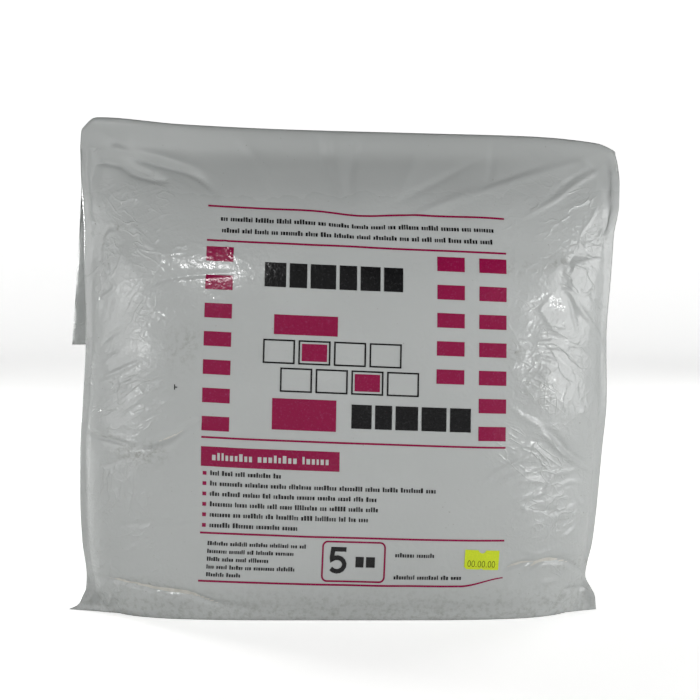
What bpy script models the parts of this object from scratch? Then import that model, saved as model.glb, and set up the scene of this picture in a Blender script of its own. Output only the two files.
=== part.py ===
"""A small bag of white cement, standing on its slumped base with its top folded backwards.

Metres, +Z up. The printed front faces -Y and the width runs along X. The origin is the middle
of the footprint, on the floor. The film bag is a thin shell whose hollow opens at the mouth, at
the end of the flap that hangs behind the bag. The powder fills that hollow up to the shoulder,
and a small price-gun label sits on the front.
"""

import math
from typing import NamedTuple

import bmesh
import bpy
import numpy as np

MM = 0.001


class Section(NamedTuple):
    """One level cut through the standing bag, in millimetres.

    height is above the floor, depth is through the middle, and spine is the y of the surface
    midway between front and back. film_left and film_right reach from the middle plane to the
    bag's side folds, fill_left and fill_right to where the powder ends. power and blunt shape
    the cut: high power is a flat front, low blunt a round side.
    """

    height: float
    depth: float
    spine: float
    film_left: float
    film_right: float
    fill_left: float
    fill_right: float
    power: float
    blunt: float


# From the floor up: slumped base with its two corner ears, belly, shoulder, and the roof
# that leans back to the fold.
SECTIONS = (
    Section(0.0, 50.0, 0.0, 179.5, 161.3, 150.0, 143.0, 5.0, 0.60),
    Section(3.5, 57.0, 0.0, 172.5, 161.0, 155.0, 146.0, 4.8, 0.60),
    Section(9.0, 62.5, -0.5, 169.8, 160.4, 159.0, 148.5, 4.6, 0.60),
    Section(14.0, 66.0, -1.0, 167.5, 158.0, 161.5, 149.5, 4.4, 0.60),
    Section(23.0, 69.5, -1.5, 166.8, 153.7, 163.5, 150.5, 4.0, 0.60),
    Section(45.0, 73.0, -2.0, 169.3, 158.0, 166.0, 155.0, 3.7, 0.60),
    Section(68.0, 74.0, -2.0, 170.2, 160.4, 167.0, 157.5, 3.5, 0.60),
    Section(103.0, 73.0, -1.5, 169.8, 163.2, 166.5, 160.0, 3.4, 0.60),
    Section(136.0, 71.0, -0.5, 167.5, 166.1, 164.5, 163.0, 3.3, 0.62),
    Section(175.0, 66.0, 1.5, 165.4, 165.5, 162.5, 162.5, 3.2, 0.65),
    Section(212.0, 58.0, 4.0, 166.2, 168.4, 163.0, 165.0, 3.0, 0.70),
    Section(241.0, 47.0, 8.0, 167.5, 171.6, 163.5, 167.5, 2.6, 0.80),
    Section(262.0, 34.0, 12.0, 169.1, 175.3, 164.5, 170.5, 2.2, 0.90),
    Section(280.0, 18.5, 16.0, 170.0, 175.8, 165.0, 170.5, 2.0, 1.00),
    Section(293.0, 6.0, 18.0, 170.2, 174.5, 165.0, 169.5, 2.0, 1.00),
    Section(303.0, 0.0, 18.3, 169.5, 172.5, 165.0, 168.0, 2.0, 1.00),
)
SECTION_TABLE = np.array(SECTIONS)

# Top edge of the folded film: place across the bag and height, left end higher than the right.
FOLD_LINE = np.array([
    (-170.0, 309.0), (-160.0, 316.0), (-106.0, 311.5), (-39.0, 308.2),
    (50.0, 305.7), (118.0, 303.7), (160.0, 299.5), (173.0, 295.0),
])
LIFT_START = 225.0

FOLD_RADIUS = 2.6
FLAP_LENGTH = 138.0
FLAP_SKEW = math.radians(4.4)
FLAP_EDGE_SAG = 5.0
# How far the flap is pushed back by the powder behind the film: distance below the fold, push.
FLAP_PUSH = np.array([
    (0.0, 0.0), (14.0, 1.6), (28.0, 5.6), (45.0, 9.2), (65.0, 11.6), (95.0, 13.4), (138.0, 15.0),
])

# Half thickness of the powder's thin side edge, and the layers that lie outside the powder.
EDGE_HALF = 0.1
FILL_GAP = 0.3
FILM_WALL = 0.45

BASE_ROWS = (0.0, 2.0, 5.0, 9.0, 15.0, 23.0)
BELLY_TOP, BELLY_ROWS = 225.0, 13
ROOF_ROWS = 8
FOLD_ROWS = 6
FLAP_ROWS = 9
FILL_TOP = 272.0
COLUMNS = 19

LABEL_WIDTH, LABEL_HEIGHT = 21.5, 12.4
LABEL_PLACE = (84.1, 40.0)
LABEL_TILT = math.radians(-3.6)
LABEL_GAP, LABEL_THICK = 0.4, 0.25
NOTCH_WIDTH, NOTCH_DEPTH = 3.8, 1.9
LABEL_COLUMNS = 9


def smooth(table, at):
    """Smooth curve through a table of (place, value) rows that never overshoots its values."""
    place, value = table[:, 0], table[:, 1]
    slope = np.diff(value) / np.diff(place)
    before, after = slope[:-1], slope[1:]
    product = before * after
    together = np.where(product > 0, before + after, 1.0)
    inner = np.where(product > 0, 2 * product / together, 0.0)
    tangent = np.concatenate([slope[:1], inner, slope[-1:]])
    at = np.clip(np.asarray(at, dtype=float), place[0], place[-1])
    row = np.clip(np.searchsorted(place, at, side="right") - 1, 0, len(slope) - 1)
    span = place[row + 1] - place[row]
    t = (at - place[row]) / span
    rest = 1 - t
    return (value[row] * rest * rest * (1 + 2 * t) + value[row + 1] * t * t * (3 - 2 * t)
            + span * t * rest * (tangent[row] * rest - tangent[row + 1] * t))


def section_at(height):
    """The bag's cut at any height, read from the smooth curves through SECTIONS."""
    heights = SECTION_TABLE[:, 0]
    values = [float(smooth(np.column_stack([heights, column]), height)) for column in SECTION_TABLE.T[1:]]
    return Section(float(height), *values)


def half_depth(section, across):
    """Half the powder's depth at a place across the bag, from -1 at its left end to 1 at its right."""
    round_off = np.clip(1 - np.abs(across) ** section.power, 0.0, 1.0)
    return section.depth / 2 * round_off ** section.blunt + EDGE_HALF


def across_places():
    """Columns across one face, closer together towards both sides, from -1 to 1."""
    return np.sin(np.linspace(-math.pi / 2, math.pi / 2, COLUMNS))


def ring_line(section, grow, tips):
    """Places across one ring and the half thickness there, with the two side tips at its ends."""
    across = across_places()
    reach = np.where(across < 0, section.fill_left + grow, section.fill_right + grow)
    x = np.concatenate([[-tips[0]], across * reach, [tips[1]]])
    half = np.concatenate([[0.0], half_depth(section, across) + grow, [0.0]])
    return x, half


def fold_height(x):
    """Height of the folded top edge at each place across the bag."""
    return smooth(FOLD_LINE, x)


def standing_ring(height, grow, tips, floor_lift):
    """One ring of the standing bag: a row of front points and a row of back points."""
    section = section_at(height)
    x, half = ring_line(section, grow, tips(section))
    share = np.clip((height - LIFT_START) / (SECTIONS[-1].height - LIFT_START), 0.0, 1.0)
    start = fold_height(x) - FOLD_RADIUS - EDGE_HALF - FILL_GAP - FILM_WALL
    z = max(height, floor_lift) + share * share * (start - SECTIONS[-1].height)
    front = np.column_stack([x, section.spine - half, z])
    back = np.column_stack([x, section.spine + half, z])
    return front, back


def folded_ring(turn, distance, grow, tips):
    """One ring past the top: turned about the fold line, then let down along the flap."""
    section = SECTIONS[-1]
    x, half = ring_line(section, grow, tips(section))
    start = fold_height(x) - FOLD_RADIUS - EDGE_HALF - FILL_GAP - FILM_WALL
    across = x / section.film_right
    push = smooth(FLAP_PUSH, distance) - FLAP_EDGE_SAG * across ** 4 * (distance / FLAP_LENGTH) ** 2
    y = section.spine + FOLD_RADIUS * (1 - math.cos(turn)) + push
    z = start + FOLD_RADIUS * math.sin(turn) - distance * math.cos(FLAP_SKEW)
    x = x - distance * math.sin(FLAP_SKEW)
    outward = np.column_stack([np.zeros_like(x), -half * math.cos(turn), half * math.sin(turn)])
    middle = np.column_stack([x, y, z])
    return middle + outward, middle - outward


def standing_heights():
    """Heights of the rings from the floor to the start of the fold."""
    belly = np.linspace(BASE_ROWS[-1], BELLY_TOP, BELLY_ROWS + 1)[1:]
    roof = np.linspace(BELLY_TOP, SECTIONS[-1].height, ROOF_ROWS + 1)[1:]
    return np.concatenate([BASE_ROWS, belly, roof])


def film_tips(section):
    """Where the film's side folds are at one height."""
    return section.film_left, section.film_right


def hollow_tips(section):
    """Where the hollow inside the film ends at one height."""
    reach = FILL_GAP + EDGE_HALF
    return section.fill_left + 2 * reach, section.fill_right + 2 * reach


def powder_tips(section):
    """Where the powder ends at one height."""
    return section.fill_left + EDGE_HALF, section.fill_right + EDGE_HALF


def whole_sleeve(grow, tips, floor_lift):
    """Every ring of the film, from the floor over the fold to the mouth."""
    rings = [standing_ring(height, grow, tips, floor_lift) for height in standing_heights()]
    turns = np.linspace(0.0, math.pi, FOLD_ROWS + 1)[1:]
    rings += [folded_ring(turn, 0.0, grow, tips) for turn in turns]
    distances = np.linspace(0.0, FLAP_LENGTH, FLAP_ROWS + 1)[1:]
    rings += [folded_ring(math.pi, distance, grow, tips) for distance in distances]
    return rings


def add_ring(bm, ring):
    """Vertices of one ring in order: along the front from left to right, back along the rear."""
    front, back = ring
    points = np.vstack([front, back[-2:0:-1]]) * MM
    return [bm.verts.new(point) for point in points]


def join_loops(bm, lower, upper, outward):
    """Triangles between two loops of the same length, facing out of or into the shape.

    Every square is split along the same diagonal, so that nested skins stay a wall apart.
    """
    count = len(lower)
    for i in range(count):
        j = (i + 1) % count
        for corners in ((lower[i], lower[j], upper[j]), (lower[i], upper[j], upper[i])):
            bm.faces.new(corners if outward else corners[::-1])


def cap_loop(bm, loop, facing_up):
    """Close a ring by a ladder of faces between its front row and its back row."""
    width = COLUMNS + 2
    front = loop[:width]
    back = [loop[0]] + loop[:width - 2:-1]
    for i in range(width - 1):
        corners = [front[i], front[i + 1], back[i + 1], back[i]]
        unique = list(dict.fromkeys(corners))
        bm.faces.new(unique if facing_up else unique[::-1])


def add_sleeve(bm, rings, outward):
    """Skin over a list of rings; gives the loops of vertices that it made."""
    loops = [add_ring(bm, ring) for ring in rings]
    for lower, upper in zip(loops, loops[1:]):
        join_loops(bm, lower, upper, outward)
    return loops


def make_material(name, colour, roughness):
    """Plain finish with a linear colour and a roughness."""
    material = bpy.data.materials.new(name)
    material.use_nodes = True
    shader = material.node_tree.nodes["Principled BSDF"]
    shader.inputs["Base Color"].default_value = (*colour, 1.0)
    shader.inputs["Roughness"].default_value = roughness
    shader.inputs["Metallic"].default_value = 0.0
    return material


def make_object(bm, name, material):
    """Turn the shape into a named, smooth-shaded object."""
    mesh = bpy.data.meshes.new(name)
    bm.to_mesh(mesh)
    bm.free()
    mesh.materials.append(material)
    mesh.shade_smooth()
    mesh.set_sharp_from_angle(angle=math.radians(50))
    thing = bpy.data.objects.new(name, mesh)
    bpy.context.scene.collection.objects.link(thing)
    return thing


def make_film_bag():
    """Film as a thin wall: outer skin, the hollow inside it, and the rim of the open mouth."""
    bm = bmesh.new()
    skin = add_sleeve(bm, whole_sleeve(FILL_GAP + FILM_WALL, film_tips, 0.0), True)
    hollow = add_sleeve(bm, whole_sleeve(FILL_GAP, hollow_tips, FILM_WALL), False)
    cap_loop(bm, skin[0], False)
    cap_loop(bm, hollow[0], True)
    join_loops(bm, skin[-1], hollow[-1], True)
    return make_object(bm, "film_bag", make_material("white_pe_film", (0.80, 0.80, 0.79), 0.32))


def make_cement_fill():
    """Powder that fills the hollow from its bottom up to the shoulder, level on top."""
    bm = bmesh.new()
    heights = [height for height in standing_heights() if height < FILL_TOP]
    rings = [standing_ring(height, 0.0, powder_tips, FILM_WALL + FILL_GAP) for height in heights]
    loops = add_sleeve(bm, rings, True)
    cap_loop(bm, loops[0], False)
    cap_loop(bm, loops[-1], True)
    return make_object(bm, "cement_fill", make_material("white_cement", (0.66, 0.65, 0.62), 0.95))


def front_point(x, height, stand_off):
    """Point on the front of the film, or a little in front of it."""
    section = section_at(height)
    grow = FILL_GAP + FILM_WALL
    reach = section.fill_left if x < 0 else section.fill_right
    half = float(half_depth(section, x / (reach + grow))) + grow
    return x, section.spine - half - stand_off, height


def label_edge(across, upper):
    """Height of the label's upper or lower edge from its middle, with the notch in the upper one."""
    notch = max(0.0, 1 - abs(across) / (NOTCH_WIDTH / 2)) * NOTCH_DEPTH if upper else 0.0
    return (LABEL_HEIGHT / 2 - notch) if upper else -LABEL_HEIGHT / 2


def make_date_label():
    """Price-gun label that follows the film, with the pull notch in its upper edge."""
    bm = bmesh.new()
    half_notch = NOTCH_WIDTH / 2
    wing = np.linspace(half_notch, LABEL_WIDTH / 2, LABEL_COLUMNS // 2)
    columns = np.concatenate([-wing[::-1], [0.0], wing])
    layers = []
    for stand_off in (LABEL_GAP + LABEL_THICK, LABEL_GAP):
        rows = []
        for upper in (False, True):
            row = []
            for across in columns:
                up = label_edge(across, upper)
                x = LABEL_PLACE[0] + across * math.cos(LABEL_TILT) - up * math.sin(LABEL_TILT)
                z = LABEL_PLACE[1] + across * math.sin(LABEL_TILT) + up * math.cos(LABEL_TILT)
                row.append(bm.verts.new(np.array(front_point(x, z, stand_off)) * MM))
            rows.append(row)
        layers.append(rows)
    for (lower, upper), outward in zip(layers, (True, False)):
        for i in range(len(columns) - 1):
            corners = (lower[i], lower[i + 1], upper[i + 1], upper[i])
            bm.faces.new(corners if outward else corners[::-1])
    outline_front = layers[0][0] + layers[0][1][::-1]
    outline_back = layers[1][0] + layers[1][1][::-1]
    join_loops(bm, outline_back, outline_front, True)
    return make_object(bm, "date_label", make_material("fluorescent_paper", (0.42, 0.52, 0.02), 0.6))


def centre_on_floor(things, guide):
    """Move the meshes together so that the middle of the guide's footprint is the origin."""
    points = np.array([vertex.co for vertex in guide.data.vertices])
    low, high = points.min(axis=0), points.max(axis=0)
    shift = (-(low[0] + high[0]) / 2, -(low[1] + high[1]) / 2, -low[2])
    for thing in things:
        for vertex in thing.data.vertices:
            vertex.co.x += shift[0]
            vertex.co.y += shift[1]
            vertex.co.z += shift[2]


def main():
    """Build the bag, its powder and its label."""
    for old in list(bpy.data.objects):
        bpy.data.objects.remove(old, do_unlink=True)
    film_bag = make_film_bag()
    things = [film_bag, make_cement_fill(), make_date_label()]
    centre_on_floor(things, film_bag)


main()
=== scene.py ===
"""Looks of a small bag of white cement: wrinkled film, generic print, label, studio.

The film is worked out as one sheet: a loft over the bag's level cuts, pulled onto the powder by
Blender's cloth, refined, and then creased by formulas where the photograph shows creases. The
print and the label are thin pieces laid on that sheet, so they follow every fold of it.
"""

import logging
import math
from dataclasses import dataclass, field
from enum import Enum
from functools import cached_property
from typing import Iterable, Optional, Sequence

import bpy
import numpy as np
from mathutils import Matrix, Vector

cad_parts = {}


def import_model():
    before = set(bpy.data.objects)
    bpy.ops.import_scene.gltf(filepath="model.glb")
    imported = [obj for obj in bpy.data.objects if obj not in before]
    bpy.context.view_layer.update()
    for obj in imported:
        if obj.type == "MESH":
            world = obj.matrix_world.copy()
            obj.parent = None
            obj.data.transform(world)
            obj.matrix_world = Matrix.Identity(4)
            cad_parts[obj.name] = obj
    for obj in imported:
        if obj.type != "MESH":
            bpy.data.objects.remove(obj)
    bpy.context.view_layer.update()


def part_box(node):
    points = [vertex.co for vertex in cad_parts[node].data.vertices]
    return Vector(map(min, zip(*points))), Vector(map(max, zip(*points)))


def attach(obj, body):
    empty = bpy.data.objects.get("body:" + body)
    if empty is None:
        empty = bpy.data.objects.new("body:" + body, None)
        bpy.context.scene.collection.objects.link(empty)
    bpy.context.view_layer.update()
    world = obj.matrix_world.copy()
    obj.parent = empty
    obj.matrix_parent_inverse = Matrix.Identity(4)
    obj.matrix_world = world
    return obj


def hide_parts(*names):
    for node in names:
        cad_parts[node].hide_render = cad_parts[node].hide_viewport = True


LOG = logging.getLogger("cement_bag")
MM = 0.001
FRONT_DEPTH = 39.85
NOISE_MIX = (73856093, 19349663, 83492791)
NOISE_SEED_MIX = 2654435
NOISE_STIR = 1274126177


def smooth(places: Sequence[float], values: Sequence[float], at: np.ndarray) -> np.ndarray:
    """Curve through points that never overshoots them.

    A cubic runs between neighbouring points. Its slope at a point is the harmonic mean of the
    slopes on both sides, or zero at a peak or dip.

    Args:
        places: Rising places of the points.
        values: Value at each place.
        at: Places where the curve is read; outside the points the end values hold.

    Returns:
        The curve's value at each place.
    """
    place, value = np.asarray(places, dtype=float), np.asarray(values, dtype=float)
    slope = np.diff(value) / np.diff(place)
    product = slope[:-1] * slope[1:]
    together = np.where(product > 0, slope[:-1] + slope[1:], 1.0)
    inner = np.where(product > 0, 2 * product / together, 0.0)
    tangent = np.concatenate([slope[:1], inner, slope[-1:]])
    at = np.clip(np.asarray(at, dtype=float), place[0], place[-1])
    row = np.clip(np.searchsorted(place, at, side="right") - 1, 0, len(slope) - 1)
    span = place[row + 1] - place[row]
    t = (at - place[row]) / span
    rest = 1 - t
    return (value[row] * rest * rest * (1 + 2 * t) + value[row + 1] * t * t * (3 - 2 * t)
            + span * t * rest * (tangent[row] * rest - tangent[row + 1] * t))


def ramp(at: np.ndarray, low: float, high: float) -> np.ndarray:
    """Smooth rise from 0 at low to 1 at high: three t squared minus two t cubed."""
    t = np.clip((np.asarray(at, dtype=float) - low) / (high - low), 0.0, 1.0)
    return t * t * (3 - 2 * t)


@dataclass(frozen=True)
class Cut:
    """One level cut through the bag, in millimetres, as in the part's own table."""

    height: float
    depth: float
    spine: float
    film_left: float
    film_right: float
    fill_left: float
    fill_right: float
    power: float
    blunt: float


CUTS = (
    Cut(0.0, 50.0, 0.0, 179.5, 161.3, 150.0, 143.0, 5.0, 0.60),
    Cut(3.5, 57.0, 0.0, 172.5, 161.0, 155.0, 146.0, 4.8, 0.60),
    Cut(9.0, 62.5, -0.5, 169.8, 160.4, 159.0, 148.5, 4.6, 0.60),
    Cut(14.0, 66.0, -1.0, 167.5, 158.0, 161.5, 149.5, 4.4, 0.60),
    Cut(23.0, 69.5, -1.5, 166.8, 153.7, 163.5, 150.5, 4.0, 0.60),
    Cut(45.0, 73.0, -2.0, 169.3, 158.0, 166.0, 155.0, 3.7, 0.60),
    Cut(68.0, 74.0, -2.0, 170.2, 160.4, 167.0, 157.5, 3.5, 0.60),
    Cut(103.0, 73.0, -1.5, 169.8, 163.2, 166.5, 160.0, 3.4, 0.60),
    Cut(136.0, 71.0, -0.5, 167.5, 166.1, 164.5, 163.0, 3.3, 0.62),
    Cut(175.0, 66.0, 1.5, 165.4, 165.5, 162.5, 162.5, 3.2, 0.65),
    Cut(212.0, 58.0, 4.0, 166.2, 168.4, 163.0, 165.0, 3.0, 0.70),
    Cut(241.0, 47.0, 8.0, 167.5, 171.6, 163.5, 167.5, 2.6, 0.80),
    Cut(262.0, 34.0, 12.0, 169.1, 175.3, 164.5, 170.5, 2.2, 0.90),
    Cut(280.0, 18.5, 16.0, 170.0, 175.8, 165.0, 170.5, 2.0, 1.00),
    Cut(293.0, 6.0, 18.0, 170.2, 174.5, 165.0, 169.5, 2.0, 1.00),
    Cut(303.0, 0.0, 18.3, 169.5, 172.5, 165.0, 168.0, 2.0, 1.00),
)
FOLD_PLACES = (-170.0, -160.0, -106.0, -39.0, 50.0, 118.0, 160.0, 173.0)
FOLD_HEIGHTS = (309.0, 316.0, 311.5, 308.2, 305.7, 303.7, 299.5, 295.0)
PUSH_PLACES = (0.0, 14.0, 28.0, 45.0, 65.0, 95.0, 144.0)
PUSH_DEPTHS = (0.0, 1.6, 5.6, 9.2, 11.6, 13.4, 15.0)


@dataclass
class BagForm:
    """Smooth form of the filled bag, before its film wrinkles. All sizes are millimetres."""

    skin: float = 0.85
    margin_half: float = 0.2
    lift_start: float = 225.0
    fold_radius: float = 2.6
    flap_length: float = 144.0
    flap_skew: float = math.radians(4.4)
    flap_sag: float = 5.0
    flare_start: float = 112.0
    flare_part: float = 0.86
    flare_bend: float = 1.2
    crowding: float = 0.46
    rounding: int = 7
    columns: int = 113
    standing_rows: int = 116
    fold_rows: int = 4
    flap_rows: int = 21

    def cut_values(self, heights: np.ndarray) -> dict[str, np.ndarray]:
        """Every measure of the cuts at many heights, as columns ready to spread over a row."""
        places = [cut.height for cut in CUTS]
        names = [name for name in Cut.__dataclass_fields__ if name != "height"]
        return {name: smooth(places, [getattr(cut, name) for cut in CUTS], heights)[:, None]
                for name in names}

    def outline(self, heights: np.ndarray, columns: int,
                grow: float) -> tuple[np.ndarray, np.ndarray]:
        """Places across the bag and half thickness of its rings, evenly spaced along the film.

        Half the powder's depth times one minus the place to a power, itself to a blunt power,
        gives each ring. The thin film margin runs from the powder's end to the side fold. The
        points are then spread along the length of that line, closer together near both side
        folds: each share of the length t becomes t minus crowding times sin(2 pi t) / (2 pi).
        Last, the thickness is averaged with its neighbours a few times, which rounds the valley
        between the powder and the margin.

        Args:
            heights: Height of each ring.
            columns: Points from the left side fold to the right one.
            grow: How far the surface lies outside the powder.

        Returns:
            Places across and half thicknesses, each with one row for each ring.
        """
        value = self.cut_values(heights)
        across = np.sin(np.linspace(-math.pi / 2, math.pi / 2, 401))[None, :]
        reach = np.where(across < 0, value["fill_left"], value["fill_right"]) + grow
        hump = value["depth"] / 2 * (1 - np.abs(across) ** value["power"]) ** value["blunt"]
        left, right = -value["film_left"], value["film_right"]
        rim = np.full_like(left, self.margin_half)
        x = np.hstack([left, (left - reach[:, :1]) / 2, across * reach,
                       (right + reach[:, -1:]) / 2, right])
        half = np.hstack([0 * rim, rim, np.maximum(hump + grow, 0.05), rim, 0 * rim])
        length = np.hstack([0 * left, np.cumsum(np.hypot(np.diff(x), np.diff(half)), axis=1)])
        even = np.linspace(0, 1, columns)
        even = even - self.crowding * np.sin(2 * math.pi * even) / (2 * math.pi)
        spread = [(np.interp(even * run[-1], run, row), np.interp(even * run[-1], run, thick))
                  for run, row, thick in zip(length, x, half)]
        thick = np.array([thick for _, thick in spread])
        for _ in range(self.rounding):
            thick[:, 1:-1] = 0.5 * thick[:, 1:-1] + 0.25 * (thick[:, :-2] + thick[:, 2:])
        return np.array([row for row, _ in spread]), thick

    def fold_start(self, x: np.ndarray) -> np.ndarray:
        """Height at which the film starts to turn over, at each place across."""
        return smooth(FOLD_PLACES, FOLD_HEIGHTS, x) - self.fold_radius - self.skin

    def standing_heights(self) -> np.ndarray:
        """Heights of the standing rings, from the floor to the fold."""
        return np.linspace(0.0, CUTS[-1].height, self.standing_rows)

    def standing(self, heights: np.ndarray, columns: int, side: float, grow: float) -> np.ndarray:
        """Grid of the standing film's front or back.

        Args:
            heights: Height of each row.
            columns: Points in a row.
            side: -1 for the front and 1 for the back.
            grow: How far the surface lies outside the powder.

        Returns:
            Points as rows by columns by three.
        """
        x, half = self.outline(heights, columns, grow)
        half = np.maximum(half, self.flare(x, heights[:, None]))
        spine = self.cut_values(heights)["spine"]
        return np.stack([x, spine + side * half, self.lifted(heights, x)], axis=-1)

    def lifted(self, heights: np.ndarray, x: np.ndarray) -> np.ndarray:
        """Height of each ring's points: near the top it bends to follow the fold line.

        The share of the way from lift_start to the last cut, squared, is the part of the fold
        line's own rise that a point gets.
        """
        climb = (heights - self.lift_start) / (CUTS[-1].height - self.lift_start)
        share = np.clip(climb, 0, 1)[:, None]
        return heights[:, None] + share * share * (self.fold_start(x) - CUTS[-1].height)

    def flare(self, x: np.ndarray, heights: np.ndarray) -> np.ndarray:
        """Half thickness of the film that runs straight from the powder to a corner ear.

        It falls from most of the powder's half depth at flare_start to nothing at the ear's
        tip, as the share left to the power flare_bend, and fades out above the base.
        """
        value = self.cut_values(heights[:, 0])
        tip = np.where(x < 0, value["film_left"], value["film_right"])
        left = np.clip((tip - np.abs(x)) / (tip - self.flare_start), 0.0, 1.0)
        fade = 1 - ramp(heights, 6.0, 42.0)
        return self.flare_part * value["depth"] / 2 * left ** self.flare_bend * fade * (left < 1.0)

    def folded(self, columns: int, side: float) -> np.ndarray:
        """Grid of the film past the top: round the fold, then down the flap behind.

        The film turns half a circle about the fold line. The flap then hangs along the skewed
        direction, and the powder behind the film pushes it back along a smooth curve. Its hem
        is straight, though the fold line is rounded off at both ends.
        """
        turns = np.concatenate([np.linspace(0, math.pi, self.fold_rows + 1)[1:],
                                np.full(self.flap_rows, math.pi)])[:, None]
        down = np.concatenate([np.zeros(self.fold_rows),
                               np.linspace(0, self.flap_length, self.flap_rows + 1)[1:]])[:, None]
        x, half = self.outline(np.array([CUTS[-1].height]), columns, self.skin)
        cut_corner = self.fold_start(x) - self.fold_start(np.clip(x, -150.0, 150.0))
        sag = self.flap_sag * (x / CUTS[-1].film_right) ** 4 * (down / self.flap_length) ** 2
        push = smooth(PUSH_PLACES, PUSH_DEPTHS, down) - sag
        y = CUTS[-1].spine + self.fold_radius * (1 - np.cos(turns)) + push
        z = self.fold_start(x) + self.fold_radius * np.sin(turns) - down * math.cos(self.flap_skew)
        z = z - cut_corner * down / self.flap_length
        return np.stack([x - down * math.sin(self.flap_skew),
                         y + side * half * np.cos(turns),
                         z - side * half * np.sin(turns)], axis=-1)


@dataclass(frozen=True)
class Crease:
    """A fold pressed into the film: a ridge or valley along a line on the front.

    Its height falls off from a narrow crest, as 1 / (1 + d squared) to the power 1.6, and to
    nothing at both ends. A lean above zero makes one flank steeper than the other, as a folded
    film lies.
    """

    points: tuple[tuple[float, float], ...]
    height: float
    width: float
    lean: float = 0.0

    def lift(self, x: np.ndarray, z: np.ndarray) -> np.ndarray:
        """Height of the crease over places (x, z) on the front, in millimetres."""
        line = np.array(self.points)
        low, high = line.min(axis=0) - 3 * self.width, line.max(axis=0) + 3 * self.width
        close = (x > low[0]) & (x < high[0]) & (z > low[1]) & (z < high[1])
        total = np.zeros(x.shape)
        total[close] = self.profile(line, x[close], z[close])
        return total

    def profile(self, line: np.ndarray, x: np.ndarray, z: np.ndarray) -> np.ndarray:
        """Height at places near the line: the nearest stretch of it gives distance and side."""
        run = np.concatenate([[0], np.cumsum(np.hypot(*np.diff(line, axis=0).T))])
        fine = np.linspace(0, run[-1], 40)
        way = np.stack([smooth(run, line[:, 0], fine), smooth(run, line[:, 1], fine)], axis=-1)
        best = np.full(x.shape, 1e9)
        along, side = np.zeros(x.shape), np.zeros(x.shape)
        for start, end, at in zip(way[:-1], way[1:], fine[:-1] / run[-1]):
            step = end - start
            length = math.hypot(*step)
            u = np.clip(((x - start[0]) * step[0] + (z - start[1]) * step[1]) / length ** 2, 0, 1)
            dx, dz = x - start[0] - u * step[0], z - start[1] - u * step[1]
            gap = np.hypot(dx, dz)
            near = gap < best
            best = np.where(near, gap, best)
            along = np.where(near, at + u * length / run[-1], along)
            side = np.where(near, (step[0] * dz - step[1] * dx) / length, side)
        taper = np.sin(math.pi * np.clip(along, 0.02, 0.98)) ** 0.7
        width = self.width * (0.6 + 0.4 * taper)
        crest = 1 / (1 + (side / (0.62 * width)) ** 2) ** 1.6
        end = np.exp(-np.maximum(best ** 2 - side ** 2, 0) / width ** 2)
        return self.height * taper * crest * end * (1 + self.lean * np.tanh(side / width))


def lattice_noise(points: np.ndarray, cell: float, seed: int) -> np.ndarray:
    """Smooth noise over points in space, about -1 to 1.

    Every corner of a cube lattice gets a value by mixing its whole-number place with the seed,
    and the eight values round a point are blended with a smooth step along each axis.

    Args:
        points: Places, with x, y and z along the last axis.
        cell: Size of a lattice cube, in the points' units.
        seed: Whole number that picks the pattern.

    Returns:
        One value for each point.
    """
    spot = np.asarray(points, dtype=float) / cell
    base = np.floor(spot).astype(np.int64)
    part = spot - base
    part = part * part * (3 - 2 * part)
    total = np.zeros(spot.shape[:-1])
    for corner in np.ndindex(2, 2, 2):
        at = base + np.array(corner)
        mixed = seed * NOISE_SEED_MIX
        for axis, factor in enumerate(NOISE_MIX):
            mixed = mixed ^ (at[..., axis] * factor)
        mixed = ((mixed ^ (mixed >> 13)) * NOISE_STIR) & 0x7FFFFFFF
        value = ((mixed ^ (mixed >> 16)) & 0xFFFF) / 32767.5 - 1
        share = np.prod(np.where(corner, part, 1 - part), axis=-1)
        total += value * share
    return total


def in_ears(x: np.ndarray, z: np.ndarray, across: tuple[float, float],
            up: tuple[float, float]) -> np.ndarray:
    """How far a place lies in a corner ear, 0 to 1.

    Args:
        x: Places across the bag.
        z: Heights.
        across: Distances from the bag's middle between which the share rises to 1.
        up: Heights between which it falls back to 0.

    Returns:
        The product of the rise outwards and the fall upwards.
    """
    middle = 0.5 * (x.max() + x.min())
    return ramp(np.abs(x - middle), *across) * (1 - ramp(z, *up))


def refine(grid: np.ndarray, times: int, axis: int) -> np.ndarray:
    """Grid with more points between its own, on smooth cubic curves through them.

    Each new point blends the four points round it with the Catmull-Rom weights; past an end the
    curve goes on straight.

    Args:
        grid: Points with x, y and z along the last axis.
        times: New steps for each old step.
        axis: Axis along which points are added.

    Returns:
        The finer grid.
    """
    grid = np.moveaxis(grid, axis, 0)
    ends = np.concatenate([[2 * grid[0] - grid[1]], grid, [2 * grid[-1] - grid[-2]]])
    count = (len(grid) - 1) * times + 1
    at = np.arange(count) / times
    row = np.minimum(at.astype(int), len(grid) - 2)
    t = (at - row).reshape(-1, *([1] * (grid.ndim - 1)))
    before, here, after, beyond = (ends[row + k] for k in range(4))
    fine = 0.5 * (2 * here + (after - before) * t + (2 * before - 5 * here + 4 * after - beyond) * t * t
                  + (3 * here - before - 3 * after + beyond) * t ** 3)
    return np.moveaxis(fine, 0, axis)


def grid_normals(grid: np.ndarray) -> np.ndarray:
    """Unit normal at every point of a grid: the cross product of its two gradients."""
    down, across = np.gradient(grid, axis=0), np.gradient(grid, axis=1)
    normal = np.cross(across, down)
    return normal / np.maximum(np.linalg.norm(normal, axis=-1, keepdims=True), 1e-9)


def grid_faces(index: np.ndarray) -> np.ndarray:
    """Squares of a grid of vertex numbers, each as four numbers."""
    corner_sets = [index[:-1, :-1], index[:-1, 1:], index[1:, 1:], index[1:, :-1]]
    return np.stack(corner_sets, axis=-1).reshape(-1, 4)


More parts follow.
